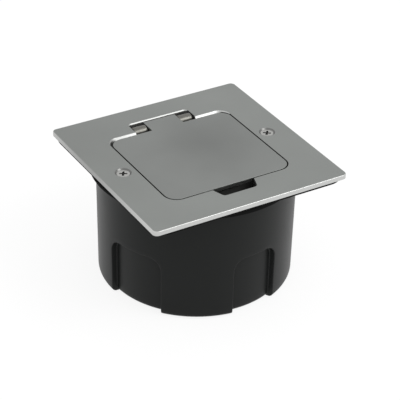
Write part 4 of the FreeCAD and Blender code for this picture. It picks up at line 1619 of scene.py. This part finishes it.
@dataclass(frozen=True)
class SoftBox:
    """Square area lamp that points at the part."""

    name: str
    place: Point
    size: float
    power: float

    def light(self, target: Vector) -> None:
        """Add the lamp.

        Args:
            target: Point at which it is aimed.
        """
        lamp = bpy.data.lights.new(self.name, "AREA")
        lamp.shape = "SQUARE"
        lamp.size = self.size
        lamp.energy = self.power
        holder = put(self.name, lamp)
        holder.location = self.place
        holder.rotation_euler = (target - holder.location).to_track_quat("-Z", "Y").to_euler()


@dataclass
class Studio:
    """White floor, even white surroundings, a soft lamp and the camera of the photograph."""

    floor_half: float = 6.0
    floor_gap: float = 0.0001
    floor_colour: Colour = (0.74, 0.74, 0.74)
    floor_roughness: float = 0.9
    floor_gloss: float = 0.1
    floor_glow: float = 0.8
    surround: float = 1.0
    aim: Point = (0.0022, -0.0014, 0.0458)
    azimuth: float = -31.24
    elevation: float = 32.30
    roll: float = 1.32
    distance: float = 0.9635
    lens: float = 141.83
    sensor: float = 36.0
    lamp: SoftBox = SoftBox("front_softbox", (0.55, -0.65, 0.95), 0.6, 5.0)

    def floor(self) -> None:
        """Add a pale floor under the part, which the camera and reflections see as nearly white."""
        half, down = self.floor_half, -self.floor_gap
        mesh = bpy.data.meshes.new("studio_floor")
        square = [(-half, -half, down), (half, -half, down), (half, half, down), (-half, half, down)]
        mesh.from_pydata(square, [], [(0, 1, 2, 3)])
        tree = FinishTree("studio_floor")
        tree.surface({
            "Base Color": self.floor_colour,
            "Roughness": self.floor_roughness,
            "Specular IOR Level": self.floor_gloss,
        })
        rays = ("Is Camera Ray", "Is Glossy Ray", "Is Transmission Ray")
        camera, glossy, through = (tree.node("ShaderNodeLightPath", {}, {}, ray) for ray in rays)
        seen = camera + glossy + through
        # Strength at which the glow and a fully lit floor come to white together
        level = (1 - (1 - self.floor_glow) * self.floor_colour[0]) / self.floor_glow
        glow = tree.node("ShaderNodeEmission", {}, {"Color": WHITE, "Strength": level})
        plain = Signal(tree.tree, tree.shader.outputs["BSDF"])
        mixed = tree.node("ShaderNodeMixShader", {}, {0: seen * self.floor_glow, 1: plain, 2: glow})
        plug(tree.tree, mixed, tree.tree.nodes["Material Output"].inputs["Surface"])
        mesh.materials.append(tree.material)
        plane = put("studio_floor", mesh)

    def surroundings(self) -> None:
        """Light everything evenly from all sides."""
        world = bpy.data.worlds.new("studio_world")
        world.use_nodes = True
        background = world.node_tree.nodes["Background"]
        background.inputs["Color"].default_value = (*WHITE, 1.0)
        background.inputs["Strength"].default_value = self.surround
        bpy.context.scene.world = world

    def camera(self) -> None:
        """Add the camera.

        It looks at the aim point from a distance. Azimuth turns it about Z, elevation lifts it, and roll
        turns it about its own axis.
        """
        azimuth, elevation = math.radians(self.azimuth), math.radians(self.elevation)
        level = math.cos(elevation)
        back = Vector((math.sin(azimuth) * level, -math.cos(azimuth) * level, math.sin(elevation)))
        lens = bpy.data.cameras.new("photo_camera")
        lens.lens = self.lens
        lens.sensor_width = self.sensor
        holder = put("photo_camera", lens)
        roll = Matrix.Rotation(math.radians(self.roll), 4, "Z")
        turn = back.to_track_quat("Z", "Y").to_matrix().to_4x4() @ roll
        holder.matrix_world = Matrix.Translation(Vector(self.aim) + back * self.distance) @ turn
        bpy.context.scene.camera = holder

    def build(self) -> None:
        """Set up the whole studio."""
        self.floor()
        self.surroundings()
        self.lamp.light(Vector(self.aim))
        self.camera()
        bpy.context.scene.view_settings.view_transform = "Standard"


def corners(bounds: tuple) -> list[list[float]]:
    """Bounds as plain lists of numbers."""
    return [[float(value) for value in corner] for corner in bounds]


def main() -> None:
    """Build every sub-assembly and the studio."""
    logging.basicConfig(level=logging.INFO, format="%(message)s")
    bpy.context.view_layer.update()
    plate_steel = (SCREW_STEEL, RECESS_PAINTED_SHADE)
    well_steel = (ZINC_STEEL, RECESS_PAINTED_SHADE)
    screws = (
        CrossScrew("plate_screws", "bright_steel", plate_steel, shank_radius=2.4,
                   places=((-PLATE_SCREW_X, 0.0), (PLATE_SCREW_X, 0.0)), turns=(31.0, 38.0)),
        PanScrew("yoke_screws", "zinc_steel", well_steel, shank_radius=1.55,
                 places=((-YOKE_SCREW_X, SOCKET_Y), (YOKE_SCREW_X, SOCKET_Y)), turns=(14.0, 62.0)),
        CrossScrew("face_screw", "zinc_steel", well_steel, shank_radius=1.5,
                   places=((0.0, SOCKET_Y),), turns=(27.0,)),
    )
    moving = (Lid(), HingePin(), ShutterSpring())
    for assembly in (BackBox(), PlateGasket(), CoverPlate(), *moving, *screws, PackedNodes()):
        assembly.dress()
    Studio().build()


if __name__ == "__main__":
    main()
